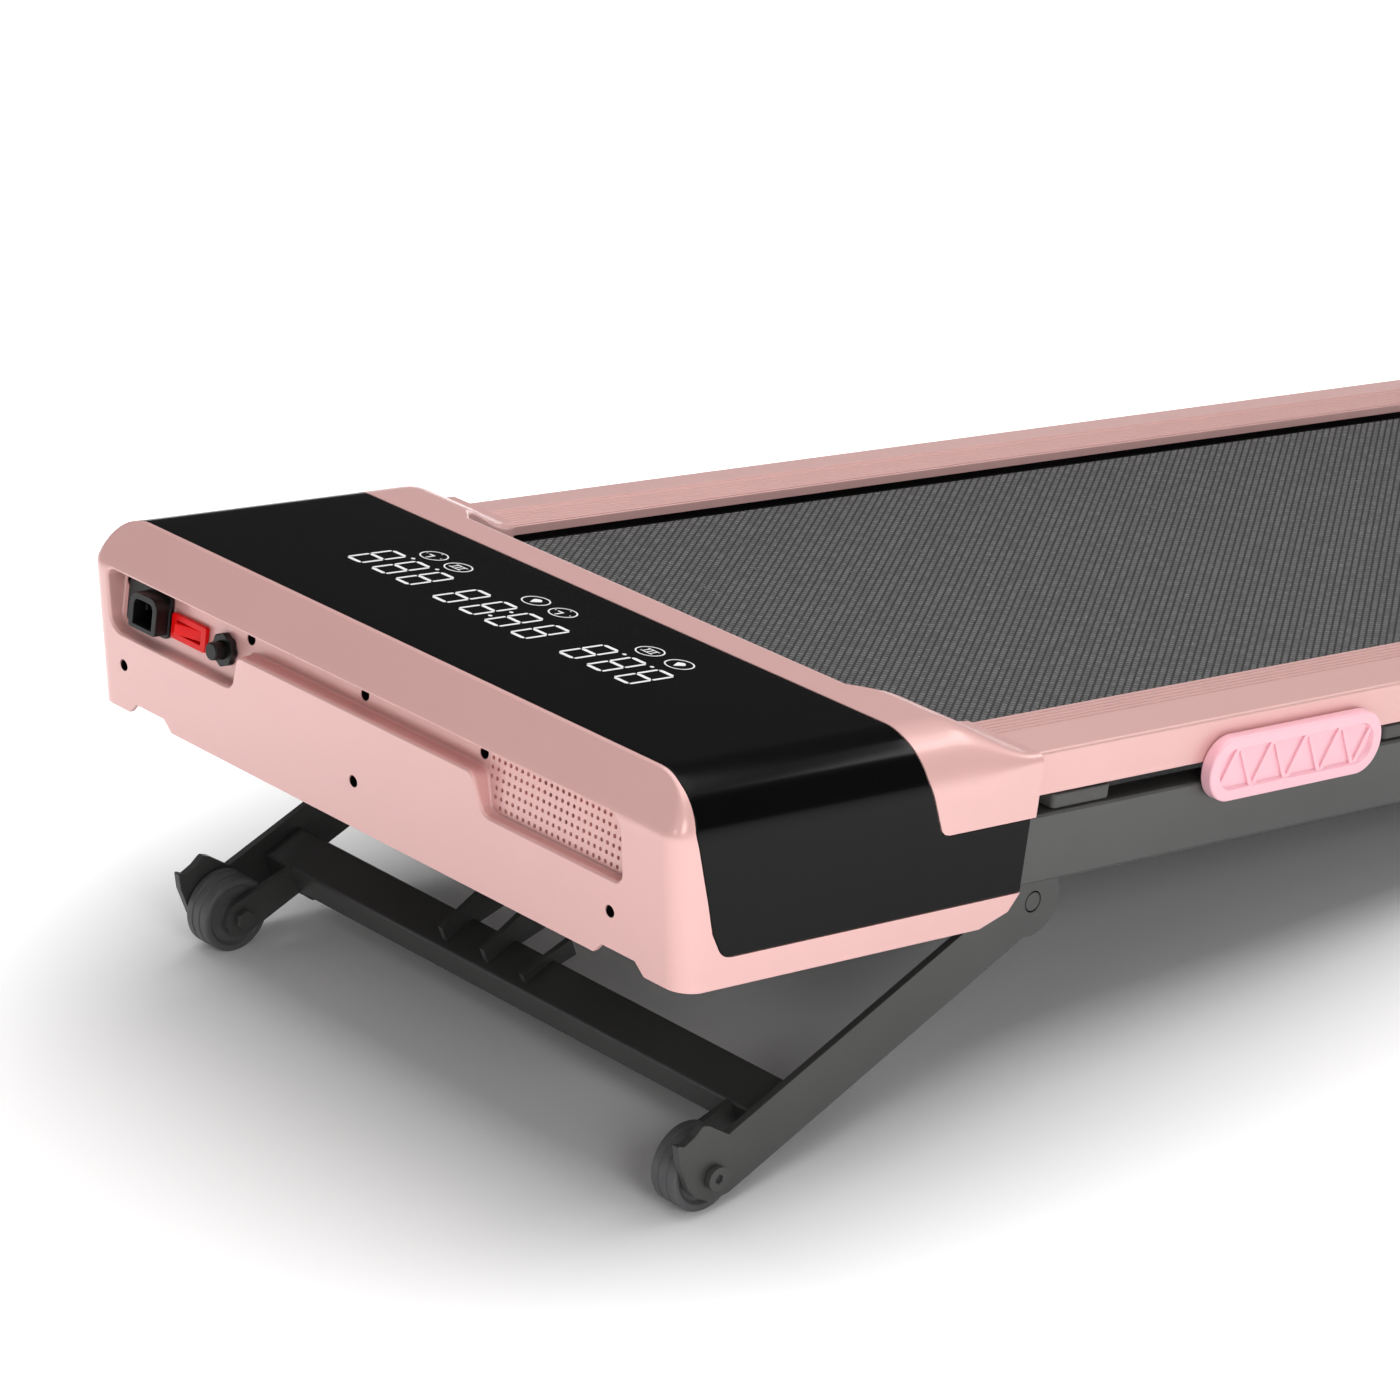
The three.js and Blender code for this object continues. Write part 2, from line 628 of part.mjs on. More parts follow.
function legCrossbar() {
  const { front, rear, top, bottom } = CROSSBAR;
  const reach = ARM.inner - GAP;
  const bar = prism("x", outline(legCorners([[rear, bottom, 2], [front, bottom, 2], [front, top, 2], [rear, top, 2]])), -reach, reach);
  const ear = outline(
    legCorners([
      [front - 6, top - 2],
      [LIFT.pinAlong - 14, top - 12, 10],
      [LIFT.pinAlong - 14, LIFT.pinUp + 13, 12],
      [LIFT.pinAlong + 14, LIFT.pinUp + 13],
      [front - 6, top + 10],
    ]),
  );
  const ears = [LIFT.x - 21, LIFT.x + 17].map((x) =>
    prism("x", ear, x, x + 4, [circle(...LIFT_PIN.toArray(), 5 + GAP)]),
  );
  const rib = prism("x", outline(legCorners([[front - 6, top - 2], [176, top - 8], [176, top + 4], [front - 6, top + 6]])), 14, 18);
  const [y, z] = WHEEL_AXLE.toArray();
  const fork = cut(
    joined(
      prism("x", outline(legCorners([[front - 8, top - 1], [LEG.length, 12], [LEG.length, -12], [front - 8, bottom + 1]])), 196, 200),
      disc("x", y, z, 12, 196, 200),
    ),
    disc("x", y, z, WHEEL.bolt + GAP, 190, 210),
  );
  return joined(bar, ...ears, rib, fork, mirrored(fork));
}

function wheelBolt() {
  const [y, z] = WHEEL_AXLE.toArray();
  const bolt = joined(
    disc("x", y, z, WHEEL.bolt, 192, 229),
    disc("x", y, z, 7.4, ARM.outer + GAP, 232.6, 20),
    disc("x", y, z, 6.6, 191.5, 195.6, 6),
  );
  return cut(bolt, disc("x", y, z, 2.9, 230.4, 240, 6));
}

function legWheel() {
  const [y, z] = WHEEL_AXLE.toArray();
  const section = [
    [WHEEL.bore, -10],
    [18, -10],
    [18.5, -8],
    [WHEEL.radius - 2.5, -8],
    [WHEEL.radius - 2, -10],
    [WHEEL.radius - 0.8, -10],
    [WHEEL.radius, -9],
    [WHEEL.radius, 9],
    [WHEEL.radius - 0.8, 10],
    [WHEEL.bore, 10],
    [WHEEL.bore, -10],
  ].map(([r, t]) => new THREE.Vector2(r, t));
  const turned = new THREE.LatheGeometry(section, 40).rotateZ(Math.PI / 2);
  return toSolid(turned).translate([(WHEEL.inner + WHEEL.outer) / 2, y, z]);
}

placePair("leg_arm", legArm(), GREY_STEEL);
place("leg_crossbar", legCrossbar(), GREY_STEEL);
placePair(
  "leg_foot_pad",
  prism(
    "x",
    outline(legCorners([[190, CROSSBAR.bottom - GAP], [220, CROSSBAR.bottom - GAP], [216, CROSSBAR.bottom - 9, 4], [194, CROSSBAR.bottom - 9, 4]])),
    192,
    220,
  ),
  RUBBER,
);
placePair("wheel_bolt", wheelBolt(), ZINC_STEEL);
placePair("leg_wheel", legWheel(), WHEEL_PLASTIC);

// ---- lift actuator: a geared screw drive from the deck to the ears on the crossbar ----
const LIFT_BASE = new THREE.Vector2(LIFT.deckY, LIFT.deckZ);
const LIFT_LENGTH = LIFT_PIN.distanceTo(LIFT_BASE);
const LIFT_ANGLE = LIFT_PIN.clone().sub(LIFT_BASE).angle();

// Turns a solid drawn along +y from the origin into the actuator's place.
const alongLift = (solid) =>
  solid.rotate([THREE.MathUtils.radToDeg(LIFT_ANGLE), 0, 0]).translate([LIFT.x, LIFT.deckY, LIFT.deckZ]);

function liftMotor() {
  const barrel = disc("y", 0, 0, LIFT.tube, 18, 108, 20);
  const gearbox = block(-14, 50, 18, 44, -15, 15, 3);
  const motor = disc("y", 36, 0, 13, 40, 96, 20);
  const eye = disc("x", 0, 0, 10, -8, 8, 20);
  const neck = block(-8, 8, 0, 20, -8, 8);
  return cut(
    joined(barrel, gearbox, motor, eye, neck),
    disc("x", 0, 0, 5 + GAP, -20, 20, 20),
    disc("y", 0, 0, LIFT.rod + GAP, 30, 120, 20),
  );
}

function liftRod() {
  const rod = disc("y", 0, 0, LIFT.rod, 76, LIFT_LENGTH - 6, 20);
  const eye = disc("x", LIFT_LENGTH, 0, 13, -15, 15, 24);
  return cut(joined(rod, eye), disc("x", LIFT_LENGTH, 0, 7.2, -20, 20, 24));
}

function liftHanger() {
  const [y, z] = LIFT_BASE.toArray();
  const ear = (x) => prism("x", outline([[y - 11, 110], [y - 11, z - 11, 10], [y + 11, z - 11, 10], [y + 11, 110]]), x, x + 4);
  const plate = block(LIFT.x - 24, LIFT.x + 24, y - 11, y + 11, 106, 110);
  const pin = disc("x", y, z, 5, LIFT.x - 13, LIFT.x + 13, 20);
  return joined(ear(LIFT.x - 14), ear(LIFT.x + 10), plate, pin);
}

place("lift_motor", alongLift(liftMotor()), BLACK_PLASTIC);
place("lift_rod", alongLift(liftRod()), ZINC_STEEL);
place("lift_hanger", liftHanger(), GREY_STEEL);

// ---- stance ----
// The incline that sets both the wheels and the rear feet on the floor.
const footDrop = new THREE.Vector2(REAR_FOOT.y, REAR_FOOT.bottom).sub(WHEEL_AXLE);
const INCLINE = Math.asin(WHEEL.radius / footDrop.length()) + footDrop.angle();
placePair("rear_foot", rearFoot(INCLINE), RUBBER);

deck.rotation.x = -INCLINE;
treadmill.updateMatrixWorld(true);
const box = new THREE.Box3().setFromObject(treadmill, true);
deck.position.set(0, -(box.min.y + box.max.y) / 2, -box.min.z);

export default treadmill;
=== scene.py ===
"""Visual model of an under-desk walking-pad treadmill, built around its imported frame.

Shapes are drawn in the deck's own axes, in millimetres: x across the belt, y from the motor hood to the
tail, z up from the hood's lower edge. DeckFrame places them in the row frame, which is in metres.
"""

import json
import logging
import math
from collections.abc import Iterable, Sequence
from dataclasses import dataclass
from enum import Enum

import bmesh
import bpy
from mathutils import Matrix, Vector


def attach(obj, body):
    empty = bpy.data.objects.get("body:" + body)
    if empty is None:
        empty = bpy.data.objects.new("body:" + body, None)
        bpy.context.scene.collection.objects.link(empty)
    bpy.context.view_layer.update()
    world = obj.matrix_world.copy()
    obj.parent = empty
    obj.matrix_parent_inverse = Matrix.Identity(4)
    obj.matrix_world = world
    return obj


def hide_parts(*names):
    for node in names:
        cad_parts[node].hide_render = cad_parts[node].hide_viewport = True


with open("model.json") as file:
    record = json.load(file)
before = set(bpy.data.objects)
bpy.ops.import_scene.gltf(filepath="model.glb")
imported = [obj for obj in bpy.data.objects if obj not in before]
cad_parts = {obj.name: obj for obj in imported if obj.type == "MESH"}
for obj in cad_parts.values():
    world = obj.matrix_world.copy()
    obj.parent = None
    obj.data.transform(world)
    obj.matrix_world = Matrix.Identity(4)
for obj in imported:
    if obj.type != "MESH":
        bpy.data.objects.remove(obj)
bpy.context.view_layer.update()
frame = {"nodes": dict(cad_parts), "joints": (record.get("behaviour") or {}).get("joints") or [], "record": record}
LOG = logging.getLogger("treadmill")
MM = 0.001
SIDES = {"left": 1, "right": -1}
Point2 = tuple[float, float]


# ---- frames -------------------------------------------------------------------------------------


def joint_place(name: str) -> Vector:
    """Gives the point on a joint's axis.

    Args:
        name: The joint's name.

    Returns:
        The point in the row frame, in metres.
    """
    return Vector(next(joint["pos_m"] for joint in frame["joints"] if joint["name"] == name))


@dataclass(frozen=True)
class DeckFrame:
    """Where the deck's millimetres lie in the row frame.

    Attributes:
        roller_y: Distance of the front roller's axis from the hood's front lower edge.
        roller_z: Height of that axis over the hood's lower edge.
    """

    roller_y: float = 215.0
    roller_z: float = 64.3

    @property
    def incline(self) -> float:
        """Slope of the deck, in radians, positive with the hood raised."""
        run = joint_place("rear_roller_spin") - joint_place("front_roller_spin")
        return math.atan2(-run.z, run.y)

    @property
    def matrix(self) -> Matrix:
        """Matrix from deck millimetres to row metres."""
        turn = Matrix.Rotation(-self.incline, 4, "X") @ Matrix.Scale(MM, 4)
        roller = turn @ Vector((0, self.roller_y, self.roller_z))
        return Matrix.Translation(joint_place("front_roller_spin") - roller) @ turn

    def point(self, place: Vector) -> Vector:
        """Turns a point of the row frame into deck millimetres."""
        return self.matrix.inverted() @ place

    def box(self, node: str) -> tuple[Vector, Vector]:
        """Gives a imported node's box in the deck's axes.

        Args:
            node: The node's name.

        Returns:
            The lowest and the highest corner, in millimetres.
        """
        inverse = self.matrix.inverted()
        points = [inverse @ vertex.co for vertex in frame["nodes"][node].data.vertices]
        low, high = (Vector([pick(p[i] for p in points) for i in range(3)]) for pick in (min, max))
        return low, high


DECK = DeckFrame()


# ---- outlines -----------------------------------------------------------------------------------


def rounded(corners: Sequence[Sequence[float]], steps: int = 8) -> list[Point2]:
    """Rounds the corners of an outline.

    Args:
        corners: Corners as (a, b) or (a, b, radius).
        steps: Number of stretches in each arc.

    Returns:
        The outline's points.
    """
    points: list[Point2] = []
    for i, corner in enumerate(corners):
        here = Vector(corner[:2])
        radius = corner[2] if len(corner) > 2 else 0
        if not radius:
            points.append(tuple(here))
            continue
        back = (Vector(corners[i - 1][:2]) - here).normalized()
        ahead = (Vector(corners[(i + 1) % len(corners)][:2]) - here).normalized()
        half = back.angle(ahead) / 2
        centre = here + (back + ahead).normalized() * (radius / math.sin(half))
        start = here + back * (radius / math.tan(half)) - centre
        turn = -math.copysign(math.pi - 2 * half, back.x * ahead.y - back.y * ahead.x)
        for k in range(steps + 1):
            angle = turn * k / steps
            c, s = math.cos(angle), math.sin(angle)
            points.append((centre.x + start.x * c - start.y * s, centre.y + start.x * s + start.y * c))
    return points


def rectangle(
    a0: float, a1: float, b0: float, b1: float, radius: float = 0.0, steps: int = 8
) -> list[Point2]:
    """Gives a rectangle with rounded corners, turning anticlockwise."""
    return rounded([(a0, b0, radius), (a1, b0, radius), (a1, b1, radius), (a0, b1, radius)], steps)


def circle(a: float, b: float, radius: float, steps: int = 48, turn: float = 0.0) -> list[Point2]:
    """Gives the points of a circle about (a, b), anticlockwise."""
    angles = [turn + 2 * math.pi * k / steps for k in range(steps)]
    return [(a + radius * math.cos(angle), b + radius * math.sin(angle)) for angle in angles]


def offset(outline: Sequence[Point2], distance: float) -> list[Point2]:
    """Grows a closed anticlockwise outline.

    Args:
        outline: The outline's points.
        distance: How far each point moves outwards; negative to shrink.

    Returns:
        The moved points, as many as before.
    """
    moved = []
    for i, point in enumerate(outline):
        here = Vector(point)
        before = (here - Vector(outline[i - 1])).normalized()
        after = (Vector(outline[(i + 1) % len(outline)]) - here).normalized()
        along = (before + after).normalized()
        moved.append((here.x + along.y * distance, here.y - along.x * distance))
    return moved


def interpolated(curve: Sequence[Point2], b: float) -> float:
    """Gives a for a value of b on a curve of (a, b) points whose b only falls or only rises."""
    ordered = sorted(curve, key=lambda p: p[1])
    if b <= ordered[0][1]:
        return ordered[0][0]
    for (a0, b0), (a1, b1) in zip(ordered, ordered[1:]):
        if b <= b1:
            share = (b - b0) / (b1 - b0) if b1 > b0 else 0
            return a0 + (a1 - a0) * share
    return ordered[-1][0]


def eased(share: float) -> float:
    """Turns a share from 0 to 1 into one that starts and ends slowly."""
    share = min(1.0, max(0.0, share))
    return share * share * (3 - 2 * share)


# ---- meshes -------------------------------------------------------------------------------------


class Axis(Enum):
    """Direction in which an outline is drawn out, with how (a, b, depth) becomes (x, y, z)."""

    X = (2, 0, 1)
    Y = (0, 2, 1)
    Z = (0, 1, 2)

    def place(self, a: float, b: float, depth: float) -> Vector:
        """Places a point of an outline at a depth."""
        values = (a, b, depth)
        return Vector([values[i] for i in self.value])


class Form:
    """A mesh being made, in deck millimetres."""

    def __init__(self, bm: bmesh.types.BMesh | None = None) -> None:
        """Wraps a bmesh, or starts an empty one."""
        self.bm = bm or bmesh.new()

    # -- making --

    @classmethod
    def loft(cls, rings: Sequence[Sequence[Vector]], capped: bool = True) -> "Form":
        """Joins rings of as many points each.

        Args:
            rings: The rings, in order.
            capped: True to close the two ends.

        Returns:
            The form, with its faces outwards.
        """
        form = cls()
        rows = [[form.bm.verts.new(p) for p in ring] for ring in rings]
        for low, high in zip(rows, rows[1:]):
            for i in range(len(low)):
                form.bm.faces.new((low[i - 1], low[i], high[i], high[i - 1]))
        if capped:
            form.bm.faces.new(rows[0])
            form.bm.faces.new(rows[-1])
        return form.outwards()

    @classmethod
    def prism(cls, axis: Axis, outline: Sequence[Point2], low: float, high: float) -> "Form":
        """Draws an outline out along an axis from low to high."""
        return cls.loft([[axis.place(a, b, depth) for a, b in outline] for depth in (low, high)])

    @classmethod
    def lathe(cls, y: float, z: float, profile: Sequence[Point2], steps: int = 64) -> "Form":
        """Turns a profile about an axis along x.

        Args:
            y: Place of the axis.
            z: Height of the axis.
            profile: (x, radius) points. The ends are on the axis, or the profile closes on itself.
            steps: Number of faces round.

        Returns:
            The turned form.
        """
        form = cls()
        rows = []
        for x, radius in profile:
            count = steps if radius > 0 else 1
            ring = circle(y, z, radius, count)
            rows.append([form.bm.verts.new((x, a, b)) for a, b in ring])
        closed = profile[0][1] > 0
        pairs = list(zip(rows, rows[1:])) + ([(rows[-1], rows[0])] if closed else [])
        for low, high in pairs:
            for i in range(steps):
                start = [low[0]] if len(low) == 1 else [low[i - 1], low[i]]
                end = [high[0]] if len(high) == 1 else [high[i], high[i - 1]]
                form.bm.faces.new([*start, *end])
        return form.outwards()

    @classmethod
    def sheet(cls, rows: Sequence[Sequence[Vector]]) -> "Form":
        """Makes an open sheet from rows of as many points each."""
        form = cls()
        made = [[form.bm.verts.new(p) for p in row] for row in rows]
        for low, high in zip(made, made[1:]):
            for i in range(1, len(low)):
                form.bm.faces.new((low[i - 1], low[i], high[i], high[i - 1]))
        return form

    @classmethod
    def of_mesh(cls, mesh: bpy.types.Mesh) -> "Form":
        """Copies a Blender mesh."""
        form = cls()
        form.bm.from_mesh(mesh)
        return form

    @classmethod
    def of_node(cls, node: str) -> "Form":
        """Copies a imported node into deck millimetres, with its doubles and flat seams merged."""
        form = cls.of_mesh(frame["nodes"][node].data).moved(DECK.matrix.inverted())
        bmesh.ops.remove_doubles(form.bm, verts=form.bm.verts, dist=0.01)
        flat = math.radians(0.8)
        bmesh.ops.dissolve_limit(form.bm, angle_limit=flat, verts=form.bm.verts, edges=form.bm.edges)
        return form

    # -- changing --

    def outwards(self) -> "Form":
        """Turns the faces of a closed form outwards."""
        bmesh.ops.recalc_face_normals(self.bm, faces=self.bm.faces)
        return self

    def moved(self, matrix: Matrix) -> "Form":
        """Moves the form by a matrix."""
        self.bm.transform(matrix)
        return self

    def shifted(self, x: float = 0.0, y: float = 0.0, z: float = 0.0) -> "Form":
        """Moves the form by a distance along each axis."""
        return self.moved(Matrix.Translation((x, y, z)))

    def merged(self, distance: float = 0.02) -> "Form":
        """Merges points that lie together."""
        bmesh.ops.remove_doubles(self.bm, verts=self.bm.verts, dist=distance)
        return self

    def on_side(self, sign: int) -> "Form":
        """Gives the form as drawn for +x, or its mirror image for -x."""
        if sign < 0:
            self.bm.transform(Matrix.Scale(-1, 4, (1, 0, 0)))
            bmesh.ops.reverse_faces(self.bm, faces=self.bm.faces)
        return self

    def joined(self, *others: "Form") -> "Form":
        """Takes in other forms as they are."""
        for other in others:
            mesh = bpy.data.meshes.new("joined")
            other.bm.to_mesh(mesh)
            self.bm.from_mesh(mesh)
            bpy.data.meshes.remove(mesh)
        return self

    def working_object(self) -> bpy.types.Object:
        """Puts the form into the scene as a working object."""
        mesh = bpy.data.meshes.new("working")
        self.bm.to_mesh(mesh)
        working = bpy.data.objects.new("working", mesh)
        bpy.context.scene.collection.objects.link(working)
        return working

    def modified(self, kind: str, **settings: object) -> "Form":
        """Applies one modifier.

        Args:
            kind: The modifier's type.
            **settings: Its settings.

        Returns:
            The form itself, changed.
        """
        working = self.working_object()
        modifier = working.modifiers.new("step", kind)
        for name, value in settings.items():
            setattr(modifier, name, value)
        self._take(working)
        return self

    def _take(self, working: bpy.types.Object) -> None:
        """Takes a working object's evaluated mesh and removes the object."""
        evaluated = working.evaluated_get(bpy.context.evaluated_depsgraph_get())
        mesh = bpy.data.meshes.new_from_object(evaluated)
        self.bm.clear()
        self.bm.from_mesh(mesh)
        bpy.data.meshes.remove(mesh)
        bpy.data.objects.remove(working)

    def softened(self, width: float, segments: int = 3, angle: float = 32.0) -> "Form":
        """Rounds the edges that turn by more than an angle, in degrees."""
        limit = math.radians(angle)
        sizes = {"width": width, "segments": segments}
        return self.modified("BEVEL", **sizes, limit_method="ANGLE", angle_limit=limit)

    def thickened(self, wall: float) -> "Form":
        """Gives a sheet a wall behind its faces."""
        return self.modified("SOLIDIFY", thickness=wall, offset=-1, use_even_offset=True)

    def _combined(self, operation: str, tool: "Form") -> "Form":
        """Cuts, joins or crosses this form with another, which stays as it is."""
        other = tool.working_object()
        self.modified("BOOLEAN", operation=operation, object=other, solver="EXACT")
        bpy.data.objects.remove(other)
        return self

    def cut(self, *tools: "Form") -> "Form":
        """Cuts the tools out of the form."""
        for tool in tools:
            self._combined("DIFFERENCE", tool)
        return self

    def united(self, *tools: "Form") -> "Form":
        """Joins the tools to the form as one body."""
        for tool in tools:
            self._combined("UNION", tool)
        return self

    def crossed(self, tool: "Form") -> "Form":
        """Keeps what the form and the tool share."""
        return self._combined("INTERSECT", tool)

    # -- finishing --

    def piece(
        self, name: str, finish: "Finish", body: str, *nodes: str, sharp: float = 35.0
    ) -> bpy.types.Object:
        """Makes the form a finished piece of the model.

        Args:
            name: The piece's name.
            finish: What it is made of.
            body: The body that it rides on.
            *nodes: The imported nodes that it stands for.
            sharp: Angle, in degrees, above which an edge stays sharp.

        Returns:
            The piece's object.
        """
        mesh = bpy.data.meshes.new(name)
        self.moved(DECK.matrix).bm.to_mesh(mesh)
        self.bm.free()
        mesh.materials.clear()
        mesh.materials.append(finish.material())
        mesh.polygons.foreach_set("use_smooth", [True] * len(mesh.polygons))
        mesh.polygons.foreach_set("material_index", [0] * len(mesh.polygons))
        mesh.set_sharp_from_angle(angle=math.radians(sharp))
        made = bpy.data.objects.new(name, mesh)
        bpy.context.scene.collection.objects.link(made)
        weighted = made.modifiers.new("even_normals", "WEIGHTED_NORMAL")
        weighted.keep_sharp = True
        weighted.weight = 100
        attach(made, body)
        if nodes:
            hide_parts(*nodes)
        LOG.info("%s: %d faces, %s, on %s", name, len(mesh.polygons), finish.name, body)
        return made


def body_of(node: str) -> str:
    """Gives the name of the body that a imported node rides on."""
    bodies = frame["record"]["behaviour"]["bodies"]
    return next(body for body, members in bodies.items() if node in members)


def refined(node: str, finish: "Finish", width: float = 0.8, segments: int = 3) -> bpy.types.Object:
    """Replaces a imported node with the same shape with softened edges.

    Args:
        node: The node's name.
        finish: What it is made of.
        width: Width of the softened edges, or 0 to keep them sharp.
        segments: Number of faces across them.

    Returns:
        The new piece.
    """
    form = Form.of_node(node)
    if width:
        form.softened(width, segments)
    return form.piece(f"{node}_part", finish, body_of(node), node)


# ---- finishes -----------------------------------------------------------------------------------


def linear(code: str) -> tuple[float, float, float, float]:
    """Turns an sRGB hex colour such as "#dca8a4" into the linear values that a shader takes."""
    values = [int(code[i : i + 2], 16) / 255 for i in (1, 3, 5)]
    return (*(v / 12.92 if v <= 0.04045 else ((v + 0.055) / 1.055) ** 2.4 for v in values), 1.0)


def add_node(
    tree: bpy.types.NodeTree, kind: str, inputs: dict | None = None, **settings: object
) -> bpy.types.Node:
    """Adds a node with its settings and inputs.

    Args:
        tree: The tree that it goes in.
        kind: The node's type.
        inputs: Value or output socket for each input, by name or place.
        **settings: The node's own settings.

    Returns:
        The new node.
    """
    node = tree.nodes.new(kind)
    for name, value in settings.items():
        setattr(node, name, value)
    for key, value in (inputs or {}).items():
        if isinstance(value, bpy.types.NodeSocket):
            tree.links.new(value, node.inputs[key])
        else:
            node.inputs[key].default_value = value
    return node


@dataclass(frozen=True)
class Finish:
    """A surface whose colour wanders a little and which has a fine grain.

    Attributes:
        name: What the surface is.
        slot: The record's material slot; not used.
        colour: Its mean colour, as an sRGB hex code.
        roughness: Its roughness.
        metallic: 1 for bare metal.
        wander: Share by which the colour gets lighter and darker.
        patch: Size of the lighter and darker patches, in millimetres.
        grain: Size of the grain, in millimetres.
        relief: Height of the grain, in millimetres.
        coat: Weight of a clear coat.
        shine: Strength of the mirror-like part for a plastic, 0.5 being usual.
        glow: Strength of the surface's own light.
        stretch: How many times longer the grain is along the deck than across it.
    """

    name: str
    slot: str
    colour: str
    roughness: float = 0.5
    metallic: float = 0.0
    wander: float = 0.04
    patch: float = 45.0
    grain: float = 0.8
    relief: float = 0.01
    coat: float = 0.0
    shine: float = 0.5
    glow: float = 0.0
    stretch: float = 1.0

    def material(self) -> bpy.types.Material:
        """Gives the finish's material, made at its first use."""
        made = bpy.data.materials.get(self.name)
        if made:
            return made
        made = bpy.data.materials.new(self.name)
        made.use_nodes = True
        tree = made.node_tree
        tree.nodes.clear()
        colour, height, reach = self.pattern(tree, self.deck_coordinates(tree))
        bump = add_node(tree, "ShaderNodeBump", {"Height": height, "Strength": 1.0, "Distance": reach * MM})
        values = {
            "Base Color": colour,
            "Roughness": self.roughness,
            "Metallic": self.metallic,
            "Normal": bump.outputs[0],
            "Specular IOR Level": self.shine,
            "Emission Strength": self.glow,
            "Coat Weight": self.coat,
            "Coat Roughness": 0.08,
        }
        shader = add_node(tree, "ShaderNodeBsdfPrincipled", values)
        add_node(tree, "ShaderNodeOutputMaterial", {"Surface": shader.outputs[0]})
        return made

    @staticmethod
    def deck_coordinates(tree: bpy.types.NodeTree) -> bpy.types.NodeSocket:
        """Gives the deck's own directions, in millimetres."""
        place = add_node(tree, "ShaderNodeTexCoord").outputs["Object"]
        turn = {"Vector": place, "Rotation": (DECK.incline, 0, 0), "Scale": (1000, 1000, 1000)}
        return add_node(tree, "ShaderNodeMapping", turn).outputs[0]

    def tones(
        self, tree: bpy.types.NodeTree, share: bpy.types.NodeSocket, wander: float
    ) -> bpy.types.NodeSocket:
        """Gives the colour, darker where share is 0 and lighter where it is 1."""
        base = linear(self.colour)
        ramp = add_node(tree, "ShaderNodeValToRGB", {0: share})
        for stop, place, gain in zip(ramp.color_ramp.elements, (0.25, 0.75), (1 - wander, 1 + wander)):
            stop.position = place
            stop.color = (*(min(1.0, v * gain) for v in base[:3]), 1.0)
        return ramp.outputs[0]

    def pattern(
        self, tree: bpy.types.NodeTree, place: bpy.types.NodeSocket
    ) -> tuple[bpy.types.NodeSocket, bpy.types.NodeSocket, float]:
        """Draws the surface.

        Args:
            tree: The material's nodes.
            place: The deck's coordinates, in millimetres.

        Returns:
            The colour, the height from 0 to 1, and the height in millimetres that 1 stands for.
        """
        wide = {"Vector": place, "Scale": 1 / self.patch, "Detail": 3.0}
        patches = add_node(tree, "ShaderNodeTexNoise", wide)
        longer = {"Vector": place, "Scale": (1, 1 / self.stretch, 1)}
        drawn = add_node(tree, "ShaderNodeMapping", longer).outputs[0]
        fine = {"Vector": drawn, "Scale": 1 / self.grain, "Detail": 2.0}
        grain = add_node(tree, "ShaderNodeTexNoise", fine)
        return self.tones(tree, patches.outputs[0], self.wander), grain.outputs[0], self.relief


@dataclass(frozen=True)
class Weave(Finish):
    """Belt fabric: slanting ribs broken into short raised dashes.

    Attributes:
        pitch: Distance between ribs, in millimetres.
        dash: Length of a dash along its rib, in millimetres.
        slant: Direction of the ribs from the x axis, in radians.
        groove_shade: Colour between the ribs, painted shade in the grooves.
    """

    pitch: float = 4.35
    dash: float = 4.6
    slant: float = math.atan2(-0.8, 0.6)
    groove_shade: str = "#2a2a2a"

    def pattern(
        self, tree: bpy.types.NodeTree, place: bpy.types.NodeSocket
    ) -> tuple[bpy.types.NodeSocket, bpy.types.NodeSocket, float]:
        """Draws dashes in rows along the slant.

        Args:
            tree: The material's nodes.
            place: The deck's coordinates, in millimetres.

        Returns:
            The colour, the height from 0 to 1, and the height in millimetres that 1 stands for.
        """
        turned = {"Vector": place, "Rotation": (0, 0, -self.slant)}
        along = add_node(tree, "ShaderNodeMapping", turned).outputs[0]
        pressed = {0: along, 1: (1, 1, 0)}
        flat = add_node(tree, "ShaderNodeVectorMath", pressed, operation="MULTIPLY").outputs[0]
        light = linear(self.colour)
        bright = (*(min(1.0, v * 1.6) for v in light[:3]), 1.0)
        sizes = {"Scale": 1.0, "Brick Width": self.dash, "Row Height": self.pitch, "Mortar Size": 1.0}
        # The mortar colour is painted shade in the grooves between the dashes.
        shades = {"Color1": light, "Color2": bright, "Mortar": linear(self.groove_shade)}
        shades |= {"Mortar Smooth": 0.7, "Bias": -0.2}
        dashes = add_node(tree, "ShaderNodeTexBrick", {"Vector": flat, **sizes, **shades}, offset=0.5)
        flecks = add_node(tree, "ShaderNodeTexVoronoi", {"Vector": place, "Scale": 1 / 9.0})
        reach = {0: flecks.outputs["Distance"], 1: 0.05}
        near = add_node(tree, "ShaderNodeMath", reach, operation="LESS_THAN")
        dots = {0: near.outputs[0], 6: dashes.outputs[0], 7: linear("#b8b6b4")}
        spotted = add_node(tree, "ShaderNodeMix", dots, data_type="RGBA").outputs[2]
        raised = add_node(tree, "ShaderNodeMath", {0: 1.0, 1: dashes.outputs["Fac"]}, operation="SUBTRACT")
        return spotted, raised.outputs[0], self.relief


